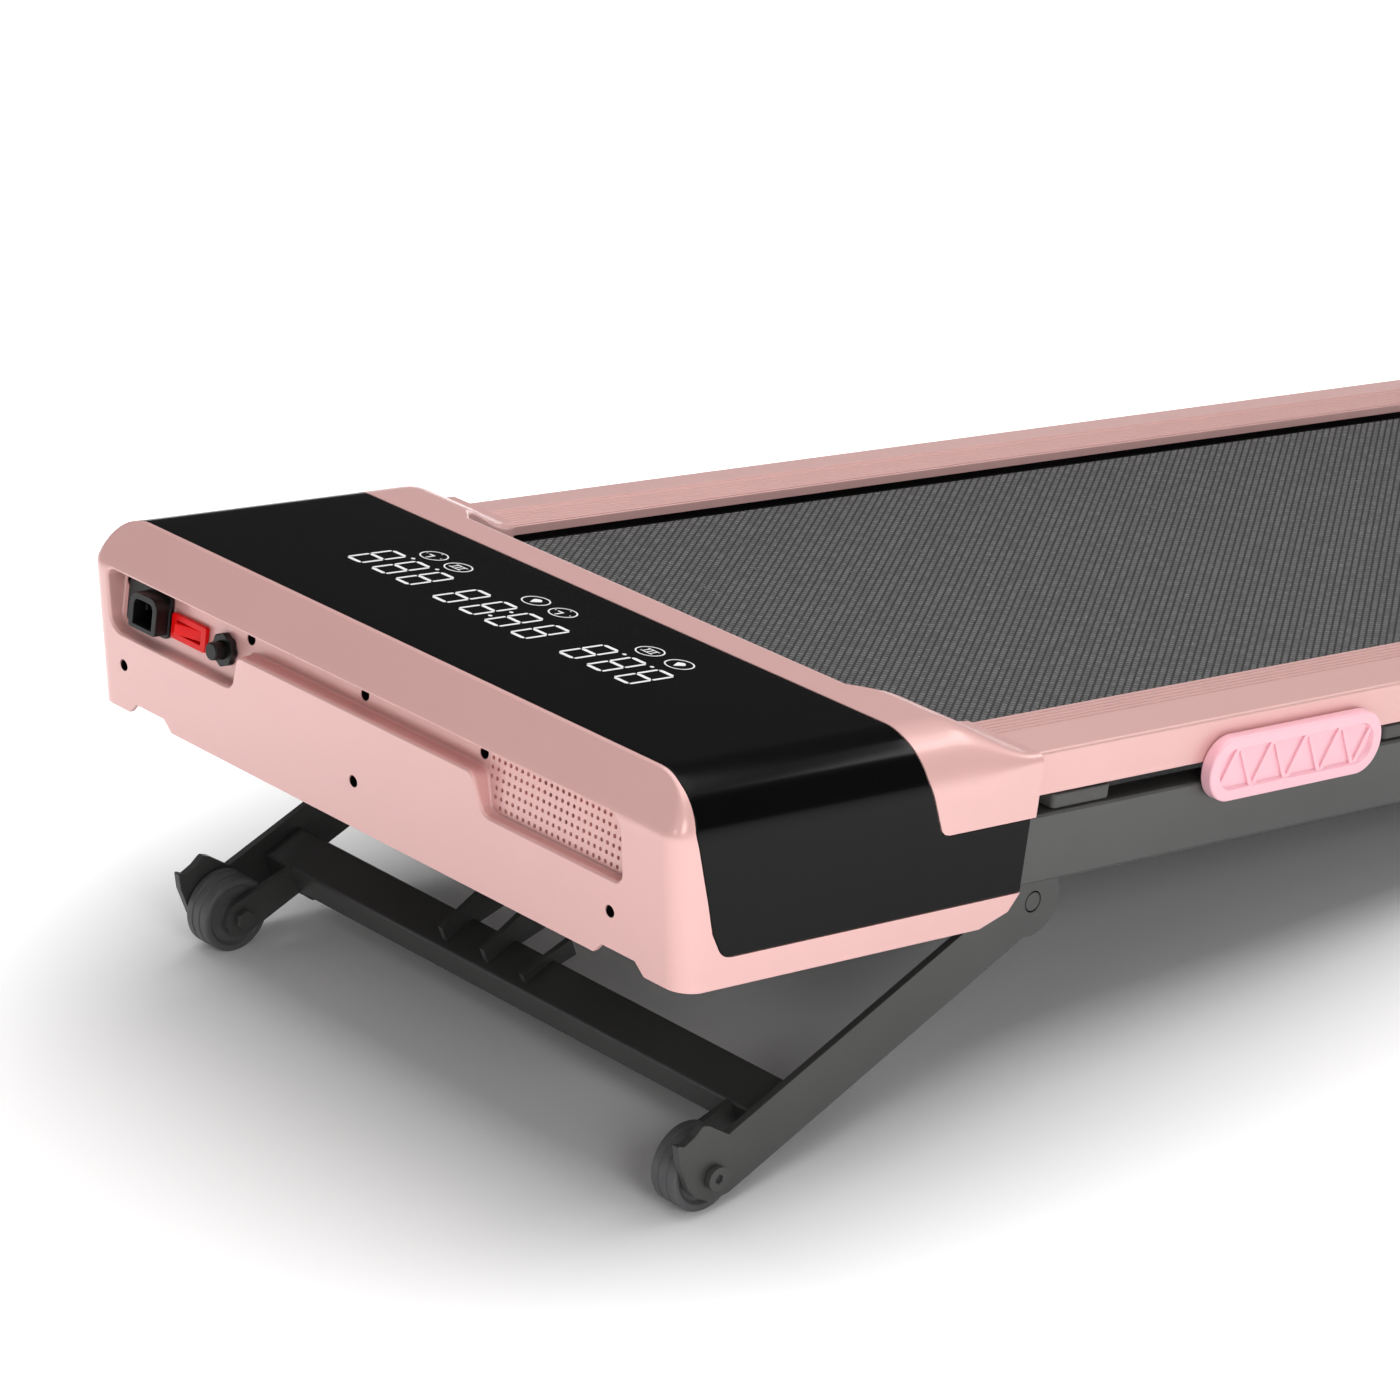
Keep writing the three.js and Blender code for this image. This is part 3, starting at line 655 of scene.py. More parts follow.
@dataclass(frozen=True)
class Backdrop(Finish):
    """Studio floor with painted light: it glows more the farther it is from the object, so only the floor near the
    object keeps its shadow.
        far: Distance at which it is full.
        squeeze: Share of a distance along the object that counts, since the object is long.
    """

    near: float = 330.0
    far: float = 760.0
    squeeze: float = 0.55

    def material(self) -> bpy.types.Material:
        """Gives the floor's material, with its glow fading in with distance."""
        made = super().material()
        tree = made.node_tree
        shader = next(node for node in tree.nodes if node.type == "BSDF_PRINCIPLED")
        scaled = {0: self.deck_coordinates(tree), 1: (1, self.squeeze, 0)}
        flat = add_node(tree, "ShaderNodeVectorMath", scaled, operation="MULTIPLY").outputs[0]
        away = add_node(tree, "ShaderNodeVectorMath", {0: flat}, operation="LENGTH").outputs["Value"]
        ends = {"Value": away, "From Min": self.near, "From Max": self.far, "To Max": self.glow}
        fade = add_node(tree, "ShaderNodeMapRange", ends, interpolation_type="SMOOTHSTEP")
        tree.links.new(fade.outputs[0], shader.inputs["Emission Strength"])
        return made


# Rose ABS: a soft sheen with a very fine moulded grain.
SHELL = Finish("satin_rose_abs", "pink_shell", "#dfb0ac", 0.33, 0.15, wander=0.012, relief=0.006, coat=0.25)
# Anodised rose aluminium: fine drawn lines along the rail give a long soft highlight.
RAIL = Finish(
    "anodised_rose", "pink_rail", "#dfb2ae", 0.42, 0.3,
    wander=0.015, grain=0.5, stretch=60, relief=0.015,
)
# Gloss rose plastic: a clear coat over an even colour.
BADGE = Finish("gloss_rose", "pink_badge", "#f6bcc8", 0.28, wander=0.01, relief=0.004, coat=0.5)
# Gloss black cover: nearly a mirror, with a faint orange-peel.
GLOSS = Finish(
    "gloss_black", "black_gloss", "#080808", 0.14,
    wander=0.1, grain=6.0, relief=0.006, shine=0.09,
)
# Moulded black plastic: dull, with a fine leathery grain.
BLACK = Finish(
    "moulded_black", "black_plastic", "#0d0d0d", 0.4,
    wander=0.1, grain=0.6, relief=0.02, shine=0.35,
)
# Belt fabric: raised dashes in slanting rows over grooves darkened with painted shade.
BELT = Weave("belt_weave", "belt_fabric", "#585858", 0.72, relief=0.5)
# Powder-coated steel: dark and slightly pebbled.
STEEL = Finish("powder_coated_steel", "grey_steel", "#484847", 0.4, 0.2, wander=0.06, grain=1.2, relief=0.03)
# Zinc-plated steel: bright patches of spangle.
ZINC = Finish("zinc_plate", "zinc_steel", "#a9a9a6", 0.32, 1.0, wander=0.12, patch=4.0, relief=0.004)
# Rubber: nearly black and dull, with a coarse grain.
RUBBER = Finish("black_rubber", "rubber", "#1d1d1c", 0.85, wander=0.12, patch=12.0, relief=0.05)
# Grey rubber for the deck's cushions: dull, lighter than the feet.
CUSHION = Finish("grey_rubber", "rubber", "#565654", 0.8, wander=0.08, patch=12.0, relief=0.04)
# Grey nylon for the wheels: a soft sheen.
NYLON = Finish("grey_nylon", "wheel_plastic", "#58585a", 0.5, wander=0.05, patch=8.0, relief=0.02)
# Red rocker plastic: clear, saturated and glossy.
RED = Finish(
    "red_rocker_plastic", "red_plastic", "#ea0a0c", 0.3,
    wander=0.05, patch=6.0, relief=0.004, shine=0.2,
)
# Sealed fibreboard: dark with a mottled face.
FIBRE = Finish("sealed_fibreboard", "board_wood", "#141312", 0.7, wander=0.2, patch=3.0, relief=0.02)
# Circuit board: green mask over a fine glass weave.
CIRCUIT = Finish("circuit_board", "board_green", "#1a4d2f", 0.35, wander=0.2, patch=7.0, relief=0.02)
# Machined aluminium: turned or milled, with fine tool lines.
ALU = Finish("machined_aluminium", "aluminium", "#b4b6b8", 0.3, 1.0, wander=0.05, grain=0.4, relief=0.006)
# Printed display marks: a dense white film on the gloss cover.
PRINT = Finish("white_display_film", "black_gloss", "#f2f2f2", 0.4, wander=0.02, relief=0.002)
# Studio floor: white and matt, with next to no pattern, and a painted glow away from the object.
FLOOR = Backdrop(
    "pale_studio_floor", "", "#fdfdfd", 0.9, wander=0.002, patch=400, grain=40, relief=0.0, glow=0.9
)


# ---- repeats made with geometry nodes -----------------------------------------------------------


def evaluated_form(source: bpy.types.Object, tree: bpy.types.NodeTree, values: dict[str, object]) -> Form:
    """Runs a geometry-nodes tree on an object and takes the result as a form.

    Args:
        source: The object that carries the modifier; it is removed afterwards.
        tree: The node tree.
        values: The value of each of the tree's named inputs.

    Returns:
        The made mesh.
    """
    modifier = source.modifiers.new("repeat", "NODES")
    modifier.node_group = tree
    for item in tree.interface.items_tree:
        if item.item_type == "SOCKET" and item.in_out == "INPUT" and item.name in values:
            modifier[item.identifier] = values[item.name]
    evaluated = source.evaluated_get(bpy.context.evaluated_depsgraph_get())
    mesh = bpy.data.meshes.new_from_object(evaluated)
    form = Form.of_mesh(mesh)
    bpy.data.meshes.remove(mesh)
    bpy.data.objects.remove(source)
    return form


def new_tree(name: str, inputs: Iterable[tuple[str, str]]) -> tuple[bpy.types.NodeTree, bpy.types.Node]:
    """Starts a geometry-nodes tree.

    Args:
        name: The tree's name.
        inputs: The name and kind of each input after the geometry, such as "Float".

    Returns:
        The tree and its input node.
    """
    tree = bpy.data.node_groups.new(name, "GeometryNodeTree")
    tree.interface.new_socket("Geometry", in_out="OUTPUT", socket_type="NodeSocketGeometry")
    tree.interface.new_socket("Geometry", in_out="INPUT", socket_type="NodeSocketGeometry")
    for label, kind in inputs:
        tree.interface.new_socket(label, in_out="INPUT", socket_type=f"NodeSocket{kind}")
    return tree, add_node(tree, "NodeGroupInput")


def close_tree(
    tree: bpy.types.NodeTree, made: bpy.types.NodeSocket, material: bpy.types.NodeSocket
) -> None:
    """Ends a tree with realised instances and their material.

    Args:
        tree: The tree.
        made: Its geometry.
        material: The material that it gets.
    """
    real = add_node(tree, "GeometryNodeRealizeInstances", {0: made}).outputs[0]
    dressed = add_node(tree, "GeometryNodeSetMaterial", {"Geometry": real, "Material": material}).outputs[0]
    add_node(tree, "NodeGroupOutput", {0: dressed})


def repeated(item: Form, places: Sequence[Sequence[float]], finish: Finish, turn: float = 0.0) -> Form:
    """Sets a copy of a form at each place.

    Args:
        item: The form, drawn about the origin.
        places: Where each copy goes.
        finish: What the copies are made of.
        turn: Most that a copy is turned about the y axis, in radians, drawn with a fixed seed.

    Returns:
        All the copies as one form.
    """
    tree = bpy.data.node_groups.get("repeat_at_points")
    if tree is None:
        kinds = (("Item", "Object"), ("Turn", "Float"), ("Seed", "Int"), ("Material", "Material"))
        tree, given = new_tree("repeat_at_points", kinds)
        points = add_node(tree, "GeometryNodeMeshToPoints", {"Mesh": given.outputs["Geometry"]})
        copy = add_node(tree, "GeometryNodeObjectInfo", {"Object": given.outputs["Item"]})
        angle = add_node(tree, "FunctionNodeRandomValue", data_type="FLOAT")
        tree.links.new(given.outputs["Turn"], angle.inputs[3])
        tree.links.new(given.outputs["Seed"], angle.inputs["Seed"])
        spin = add_node(tree, "ShaderNodeCombineXYZ", {"Y": angle.outputs[1]})
        set_out = {"Points": points.outputs[0], "Instance": copy.outputs["Geometry"]}
        set_out["Rotation"] = spin.outputs[0]
        instances = add_node(tree, "GeometryNodeInstanceOnPoints", set_out)
        close_tree(tree, instances.outputs[0], given.outputs["Material"])
    mesh = bpy.data.meshes.new("places")
    mesh.from_pydata([tuple(place) for place in places], [], [])
    source = bpy.data.objects.new("places", mesh)
    bpy.context.scene.collection.objects.link(source)
    model = item.working_object()
    values = {"Item": model, "Turn": turn, "Seed": 7, "Material": finish.material()}
    form = evaluated_form(source, tree, values)
    bpy.data.objects.remove(model)
    return form


# ---- motor hood ---------------------------------------------------------------------------------


@dataclass(frozen=True)
class HoodShape:
    """The surface that the hood's base, cover and trim share.

    Attributes:
        half_width: Half the hood's width.
        top: Height of the flat top.
        corner: Radius of the long upper corners.
        fillet: Largest radius between the front face and the sides.
        crease: Height at which the front face stops leaning forward.
        soft: Half the height over which the crease is rounded.
        lean: Forward run of the front face for each unit of height, below the crease.
        fall: Backward run above it.
        wall: Thickness of the mouldings.
        border: Height of the base's side border.
        length: Rear end of the border and of the cover's sides.
        joint: Air between two mouldings.
        tab_bottom: Height of the trim's lower edge on the sides.
    """

    half_width: float = 260.0
    top: float = 120.0
    corner: float = 36.0
    fillet: float = 14.0
    crease: float = 90.0
    soft: float = 4.0
    lean: float = 0.2
    fall: float = 0.45
    wall: float = 3.0
    border: float = 17.3
    length: float = 258.0
    joint: float = 0.5
    tab_bottom: float = 62.0

    def front(self, z: float) -> float:
        """Gives the front face's y at a height."""
        share = min(1.0, max(0.0, (z - self.crease + self.soft) / (2 * self.soft)))
        beyond = max(0.0, z - self.crease - self.soft)
        return -self.lean * z + (self.lean + self.fall) * (self.soft * share * share + beyond)

    @property
    def cover_edge(self) -> list[Point2]:
        """Edge between the base and the cover, as (y, z), from the top down."""
        corners = [(-4, 140), (-4, 118), (-5, 92), (10, 51), (16, 33, 6), (26, self.border, 12)]
        return rounded([*corners, (90, self.border)])[:-1]

    @property
    def trim_edge(self) -> list[Point2]:
        """Edge between the cover and the trim, as (y, z), from the top down."""
        corners = [(166, 140), (166, 118), (171, 97), (187, self.tab_bottom, 8), (240, self.tab_bottom)]
        return rounded(corners)[:-1]

    def cover_start(self, z: float) -> float:
        """Gives the y at which the cover meets the base at a height."""
        return max(interpolated(self.cover_edge, max(z, self.border)), self.front(z) + 2.2)

    def heights(self, low: float) -> list[float]:
        """Gives the heights of the rows up one side, from low to the start of the upper corner."""
        levels = [0.0, 7.0, *(self.border + 0.7 * k for k in range(14)), 33.0, 40.0, 47.0, 51.0]
        levels += [55.0, 58.0, *(self.tab_bottom + 0.8 * k for k in range(14)), 75.5, 79.0, 82.0]
        return [low, *(z for z in levels if z > low + 0.2), self.top - self.corner]

    def arch(self, low: float, across: Sequence[float], inset: float = 0.0) -> list[tuple[Vector, Vector]]:
        """Gives stations up the -x side, over the top and down the +x side.

        Args:
            low: Height of the first and last station.
            across: The x of the stations along the flat top, rising, without its ends.
            inset: Distance inside the outer surface.

        Returns:
            For each station its place as (x, z) and the direction inwards.
        """
        side = [(Vector((self.half_width, z)), Vector((-1, 0))) for z in self.heights(low)]
        centre = Vector((self.half_width - self.corner, self.top - self.corner))
        for k in range(1, 19):
            angle = math.pi / 2 * k / 18
            out = Vector((math.cos(angle), math.sin(angle)))
            side.append((centre + out * self.corner, -out))
        left = [(Vector((-p.x, p.y)), Vector((-n.x, n.y))) for p, n in side]
        flat = [(Vector((x, self.top)), Vector((0, -1))) for x in across]
        stations = [*left, *flat, *reversed(side)]
        return [(p + n * inset, n) for p, n in stations]


HOOD = HoodShape()
# The x of the stations over the belt, and of all those along the flat top.
TOP_STATIONS = [-165 + 11 * k for k in range(31)]
ACROSS = [-205, -185, -169, *TOP_STATIONS, 169, 185, 205]
# Angles at which a rounded rim has its points.
BENDS = (0.3, 0.6, 0.9, 1.2, math.pi / 2)
# Outline of the recess in the front face, as (x, z, radius).
MOUTH = [(-241.5, 50, 10), (-126, 50, 7), (-119, 73, 7), (91, 73, 7), (99, 49.5, 8)]
MOUTH += [(213, 49.5, 6), (213, 89, 9), (-241.5, 89, 6)]
# The x and z of the screws in the recess, and of those under it.
UPPER_SCREWS = [(-236, 80.5), (-120.8, 80.5), (-17, 80.5), (86.7, 80.5)]
LOWER_SCREWS = [(-231.5, 29.6), (-15.3, 29.6), (203, 29.6)]
SCREW_PLACES = [(x, 0, z) for x, z in UPPER_SCREWS + LOWER_SCREWS]
# The x and z of the overload breaker.
BREAKER_PLACE = (-141.3, 68.0)


@dataclass(frozen=True)
class HoodBase:
    """The rose moulding: front face, rounded corners and side borders, with the recess for the fittings.

    Attributes:
        floor: The y of the recess's floor.
        back: The y of the rear of that floor.
        rim: Radius of the recess's rounded rim.
        hole: Radius of the screw holes.
    """

    floor: float = -2.4
    back: float = 0.8
    rim: float = 2.2
    hole: float = 3.7

    def shell(self) -> Form:
        """Makes the front face, the corners and the borders as one sheet."""
        rows = []
        for place, inwards in HOOD.arch(0.0, ACROSS):
            end = HOOD.cover_start(place.y)
            radius = min(HOOD.fillet, end - HOOD.front(place.y) - 0.6)
            row = []
            for k in range(11):
                angle = math.pi / 2 * (1 - k / 10)
                spot = place + inwards * radius * (1 - math.cos(angle))
                row.append(Vector((spot.x, HOOD.front(spot.y) + radius * (1 - math.sin(angle)), spot.y)))
            row.append(Vector((place.x, end, place.y)))
            rows.append(row)
        sheet = Form.sheet(rows)
        count = (len(rows) - len(ACROSS)) // 2
        face = []
        for k in range(count):
            low, high = rows[k][0], rows[-1 - k][0]
            shares = [0.0, *((x + 224) / 448 for x in ACROSS), 1.0]
            face.append([Vector((low.x + (high.x - low.x) * t, HOOD.front(low.z), low.z)) for t in shares])
        sheet.joined(Form.sheet(face))
        for side in (rows[:8], rows[:-9:-1]):
            low = [row[-1] for row in side if row[-1].z <= HOOD.border + 0.01]
            ends = ((HOOD.length, HOOD.border), (HOOD.length - 8, 7), (228, 0))
            rear = [Vector((low[0].x, y, z)) for y, z in ends]
            sheet.bm.faces.new([sheet.bm.verts.new(p) for p in (*low, *rear)])
        return sheet.merged().outwards()

    def mouth(self) -> Form:
        """Makes the tool for the recess, flared at its rim and rounded at its floor."""
        outline = rounded(MOUTH, 10)
        rings = []
        flare = [(self.rim * (1 - math.sin(a)), self.rim * (1 - math.cos(a))) for a in BENDS]
        for grow, sink in [(self.rim, -9.0), *flare]:
            rings.append([Vector((x, HOOD.front(z) + sink, z)) for x, z in offset(outline, grow)])
        for shrink, rise in ((0.0, 1.6), (0.25, 0.7), (0.8, 0.2), (1.6, 0.0)):
            rings.append([Vector((x, self.floor - rise, z)) for x, z in offset(outline, -shrink)])
        return Form.loft(rings)

    def build(self) -> None:
        """Makes the moulding."""
        shell = self.shell().thickened(HOOD.wall)
        ring = offset(rounded(MOUTH, 10), 3)
        ahead = [Vector((x, HOOD.front(z) + 1.2, z)) for x, z in ring]
        tray = Form.loft([ahead, [Vector((x, self.back, z)) for x, z in ring]])
        tools = [self.mouth()]
        for sign in SIDES.values():
            notch = [Vector((x, 0, z)) for x, z in ((187, -1), (230, -1), (222, 7), (195, 7))]
            rings = [[p + Vector((0, y, 0)) for p in notch] for y in (-60, 20)]
            tools.append(Form.loft(rings).on_side(sign))
        low, high = DECK.box("power_inlet")
        tools.append(Form.prism(Axis.Y, rectangle(low.x + 13, high.x - 2, 60.5, 81), -10, 10))
        tools.append(Form.prism(Axis.Y, rectangle(-188, -161.5, 62, 73.4), -10, 10))
        tools.append(Form.prism(Axis.Y, circle(*BREAKER_PLACE, 7.4), -10, 10))
        low, high = DECK.box("vent_grille")
        opening = rectangle(low.x - 0.3, high.x + 0.3, low.z - 0.3, high.z + 0.3, 3.2)
        tools.append(Form.prism(Axis.Y, opening, self.floor - 0.05, 10))
        hole = Form.prism(Axis.Y, circle(0, 0, self.hole, 32), -30, 12)
        holes = repeated(hole, SCREW_PLACES, BLACK)
        whole = shell.united(tray).cut(*tools, holes)
        whole.piece("hood_base_moulding", SHELL, "deck", "hood_base", sharp=40)


@dataclass(frozen=True)
class HoodCover:
    """The gloss black cover over the top and sides.

    Attributes:
        columns: Number of faces from its front edge to its rear edge.
    """

    columns: int = 16

    def build(self) -> None:
        """Makes the cover."""
        rear = HOOD.trim_edge
        upper, lower_left, lower_right = [], [], []
        gap = HOOD.joint
        step = interpolated(rear, HOOD.tab_bottom)
        for place, _ in HOOD.arch(HOOD.border + gap, ACROSS):
            z = place.y
            start = HOOD.cover_start(z) + gap
            end = interpolated(rear, z) - gap if z > HOOD.tab_bottom - 0.1 else step - gap
            shares = [k / self.columns for k in range(self.columns + 1)]
            upper.append([Vector((place.x, start + (end - start) * share, z)) for share in shares])
            if z < HOOD.tab_bottom + 0.1:
                row = [Vector((place.x, end + (HOOD.length - end) * k / 4, z)) for k in range(5)]
                (lower_left if place.x < 0 else lower_right).append(row)
        sheet = Form.sheet(upper).joined(Form.sheet(lower_left), Form.sheet(lower_right)).merged()
        sheet.outwards().thickened(HOOD.wall).softened(0.8, 3)
        sheet.piece("hood_cover_moulding", GLOSS, "deck", "hood_cover", sharp=40)


@dataclass(frozen=True)
class RearTrim:
    """The rose trim behind the cover: a strip over the belt and two wings that fall to the rails.

    Attributes:
        strip_rear: Rear edge of the strip.
        rear: Rear edge of the wings.
        rail_top: Height of the wings' rear edge.
        rim: Radius of the wings' inner rim.
        wall_foot: Height at which the inner wall ends.
    """

    strip_rear: float = 196.0
    rear: float = 262.0
    rail_top: float = 99.6
    rim: float = 4.0
    wall_foot: float = 89.6

    def foot(self, y: float) -> float:
        """Gives the height of the walls' foot at y, which follows the belt down about its front roller."""
        roller, clearance = 215.0, 25.2
        drop = clearance**2 - max(0.0, roller - y) ** 2
        return self.wall_foot - clearance + math.sqrt(drop)

    def inner_edge(self, y: float) -> float:
        """Gives the x of the wings' inner edge."""
        curve = [(165, 196), (176, 204), (183, 215), (187.5, 230), (190, 243), (196, 262), (198, 268)]
        return interpolated(curve, y)

    def section(self, y: float) -> list[Vector]:
        """Gives the wing's section at y, from the side's lower edge over the top to the inner foot."""
        share = eased((y - self.strip_rear - 5) / (self.rear - self.strip_rear - 9))
        top = HOOD.top - (HOOD.top - self.rail_top) * share
        corner = HOOD.corner - 30 * share
        stations = [(p, n) for p, n in HOOD.arch(HOOD.tab_bottom, ()) if p.x > 0][::-1]
        points = []
        for place, inwards in stations:
            rise = (place.y - HOOD.tab_bottom) / (HOOD.top - HOOD.corner - HOOD.tab_bottom)
            if abs(inwards.y) < 1e-6:
                z = HOOD.tab_bottom + rise * (top - corner - HOOD.tab_bottom)
                points.append(Vector((place.x, y, z)))
            else:
                centre = Vector((HOOD.half_width - corner, top - corner))
                spot = centre - inwards * corner
                points.append(Vector((spot.x, y, spot.y)))
        inner = self.inner_edge(y)
        start = points[-1].x
        rim = self.rim
        for share_in in (0.33, 0.66, 1.0):
            points.append(Vector((start + (inner + rim - start) * share_in, y, top)))
        for angle in BENDS:
            x = inner + rim - rim * math.sin(angle)
            points.append(Vector((x, y, top - rim * (1 - math.cos(angle)))))
        points.append(Vector((inner, y, self.foot(y))))
        return points

    def front_wall(self) -> list[list[Vector]]:
        """Gives the rounded rear edge of the strip and the wall under it, down to just over the belt."""
        y, rim, end = self.strip_rear, self.rim, TOP_STATIONS[-1]
        turns = [(math.sin(a), math.cos(a)) for a in (0.0, *BENDS)]
        foot = Vector((0, y, self.foot(y)))
        rows = []
        for x in TOP_STATIONS:
            edge = [Vector((x, y - rim + rim * s, HOOD.top - rim * (1 - c))) for s, c in turns]
            rows.append([*edge, foot + Vector((x, 0, 0))])
        for sign, at in ((-1, 0), (1, len(rows) + 1)):
            corner = [Vector((sign * (end + rim - rim * s), y, HOOD.top - rim * (1 - c))) for s, c in turns]
            rows.insert(at, [*corner, foot + Vector((sign * end, 0, 0))])
        return rows

    def build(self) -> None:
        """Makes the trim."""
        edge = HOOD.trim_edge
        rows = []
        for place, _ in HOOD.arch(HOOD.tab_bottom, ACROSS):
            start = interpolated(edge, place.y)
            end = self.strip_rear - (self.rim if abs(place.x) < 166 else 0)
            rows.append([Vector((place.x, start + (end - start) * k / 8, place.y)) for k in range(9)])
        strip = Form.sheet(rows).joined(Form.sheet(self.front_wall()))
        wings = []
        for sign in SIDES.values():
            run = self.rear - self.strip_rear
            sections = [self.section(self.strip_rear + run * k / 22) for k in range(23)]
            wings.append(Form.sheet(sections).on_side(sign))
        strip.joined(*wings).merged(0.05)
        strip.outwards().thickened(HOOD.wall).softened(0.7, 3)
        # The apron stands in front of the roller and closes the view into the hood.
        apron = Form.prism(Axis.Y, rectangle(-186, 186, 66, HOOD.top - 2, 1), 186.5, 189.5)
        strip.joined(apron.softened(0.4, 2))
        strip.piece("rear_trim_moulding", SHELL, "deck", "rear_trim", sharp=40)


@dataclass(frozen=True)
class VentGrille:
    """The perforated panel in the recess, part of it open and the rest blind.

    Attributes:
        first: The x and z of the lowest hole at the -x end.
        pitch: Distance between holes along x and z.
        radius: Radius of a hole.
        depth: Depth of a blind hole.
    """

    first: Point2 = (94.6, 53.7)
    pitch: Point2 = (4.83, 5.33)
    radius: float = 1.25
    depth: float = 1.7

    def holes(self) -> tuple[list[Vector], list[Vector]]:
        """Gives the places of the open and of the blind holes."""
        starts, ends = (104, 99, 99, 94, 94, 94), (202, 202, 202, 202, 197, 192)
        opened, blind = [], []
        for row, (start, end) in enumerate(zip(starts, ends)):
            z = self.first[1] + self.pitch[1] * row
            for column in range(23):
                x = self.first[0] + self.pitch[0] * column
                inside = (138 < x < 167 and row >= 3) or (143 < x < 162 and row == 2)
                if start < x < end:
                    (opened if inside else blind).append(Vector((x, 0, z)))
        return opened, blind

    def build(self) -> None:
        """Makes the panel, and a black sheet behind its open holes that is painted shade."""
        low, high = DECK.box("vent_grille")
        panel = Form.prism(Axis.Y, rectangle(low.x, high.x, low.z, high.z, 3), low.y, high.y)
        opened, blind = self.holes()
        deep = Form.prism(Axis.Y, circle(0, 0, self.radius, 20), low.y - 2, high.y + 2)
        shallow = Form.prism(Axis.Y, circle(0, 0, self.radius, 20), low.y - 2, low.y + self.depth)
        panel.cut(repeated(deep, opened, SHELL), repeated(shallow, blind, SHELL))
        panel.piece("vent_grille_panel", SHELL, "deck", "vent_grille")
        # Painted shade: a black sheet behind the open holes makes them read as dark as the inside of the hood.
        shade_sheet = Form.prism(Axis.Y, rectangle(134, 171, 60, 84, 2), high.y + 0.2, high.y + 1.2)
        shade_sheet.softened(0.2, 1).piece("vent_filter_screen", BLACK, "deck")


class Mark(Enum):
    """Segments of a seven-segment digit, as (across, up, lies along x) in halves of the digit."""

    TOP = (0.0, 1.0, True)
    MIDDLE = (0.0, 0.0, True)
    BOTTOM = (0.0, -1.0, True)
    UPPER_LEFT = (-1.0, 0.5, False)
    UPPER_RIGHT = (1.0, 0.5, False)
    LOWER_LEFT = (-1.0, -0.5, False)
    LOWER_RIGHT = (1.0, -0.5, False)


@dataclass(frozen=True)
class Display:
    """The lit digits and round marks under the gloss cover, read from the belt.

    Attributes:
        width: Width of a digit.
        height: Height of a digit.
        slant: Distance that a digit's upper end leans over.
        bar: Width of a segment that lies across the deck.
        stroke: Width of a segment that lies along it.
        level: Height of the marks' underside.
        film: Thickness of the marks.
    """

    width: float = 12.6
    height: float = 33.6
    slant: float = 0.6
    bar: float = 2.8
    stroke: float = 1.8
    level: float = 119.99
    film: float = 0.14

    def segment(self, mark: Mark) -> Form:
        """Makes one segment of a digit whose middle is at the origin."""
        across, up, flat = mark.value
        long = (self.width if flat else self.height / 2) / 2 - 0.5
        half = (self.bar if flat else self.stroke) / 2
        corners = [(-long, 0), (-long + half, -half), (long - half, -half)]
        corners += [(long, 0), (long - half, half), (-long + half, half)]
        if not flat:
            corners = [(-b, a) for a, b in corners]
        moved = []
        for a, b in corners:
            a, b = a + across * self.width / 2, b + up * self.height / 2
            moved.append((-(a + b / self.height * self.slant), -b))
        return Form.prism(Axis.Z, moved, self.level, self.level + self.film)

    def icon(self, kind: int) -> Form:
        """Makes a round mark: a ring with a plain figure inside.

        Args:
            kind: 0 for a clock, 1 for a ladder, 2 for a drop.

        Returns:
            The mark, about the origin.
        """
        ring = Form.prism(Axis.Z, circle(0, 0, 8.8, 40), self.level, self.level + self.film)
        ring.cut(Form.prism(Axis.Z, circle(0, 0, 7.9, 40), 100, 140))
        clock = [rectangle(-0.6, 0.6, -5.4, 0.6), rectangle(-3.9, -0.6, -0.6, 0.6)]
        clock += [circle(6.2 * math.cos(a), 6.2 * math.sin(a), 0.5, 12) for a in (0.0, 1.57, 3.14, 4.71)]
        ladder = [rectangle(-4.8, 4.8, low, low + 0.8) for low in (-3.5, 2.7)]
        ladder += [rectangle(left, left + 0.8, -2.7, 2.7) for left in (-3.4, 2.6, -0.4)]
        drop = [rounded([(0, -4.8), (3.6, 1.8, 2), (0, 4.6, 2), (-3.6, 1.8, 2)])]
        figures = (clock, ladder, drop)[kind]
        return ring.joined(*(Form.prism(Axis.Z, f, self.level, self.level + self.film) for f in figures))

    def build(self) -> None:
        """Makes the digits, points and marks as one printed film."""
        centres = [(x + 5.5, 87.0) for x in (-127.3, -105.3, -83.4)]
        centres += [(x + 5.2, 86.0) for x in (-48.7, -25.3, -2.8, 20.1)]
        centres += [(x + 6.2, 89.0) for x in (57.5, 80.9, 103.8)]
        film = Form()
        for mark in Mark:
            film.joined(repeated(self.segment(mark), [(x, y, 0) for x, y in centres], PRINT))
        dot = Form.prism(Axis.Z, circle(0, 0, 1.3, 20), self.level, self.level + self.film)
        points = [(x, 105.5, 0) for x in (-110.8, -88.8, 75.4, 98.6)] + [(-8.9, 78, 0), (-8.9, 94, 0)]
        film.joined(repeated(dot, points, PRINT))
        clocks = [(-110.3, 121.3, 0), (3.4, 122.7, 0)]
        ladders = [(-87.2, 120.5, 0), (77, 123.8, 0)]
        drops = [(-20, 122.5, 0), (101.6, 123.8, 0)]
        for kind, places in enumerate((clocks, ladders, drops)):
            film.joined(repeated(self.icon(kind), places, PRINT))
        film.piece("display_digits", PRINT, "deck")


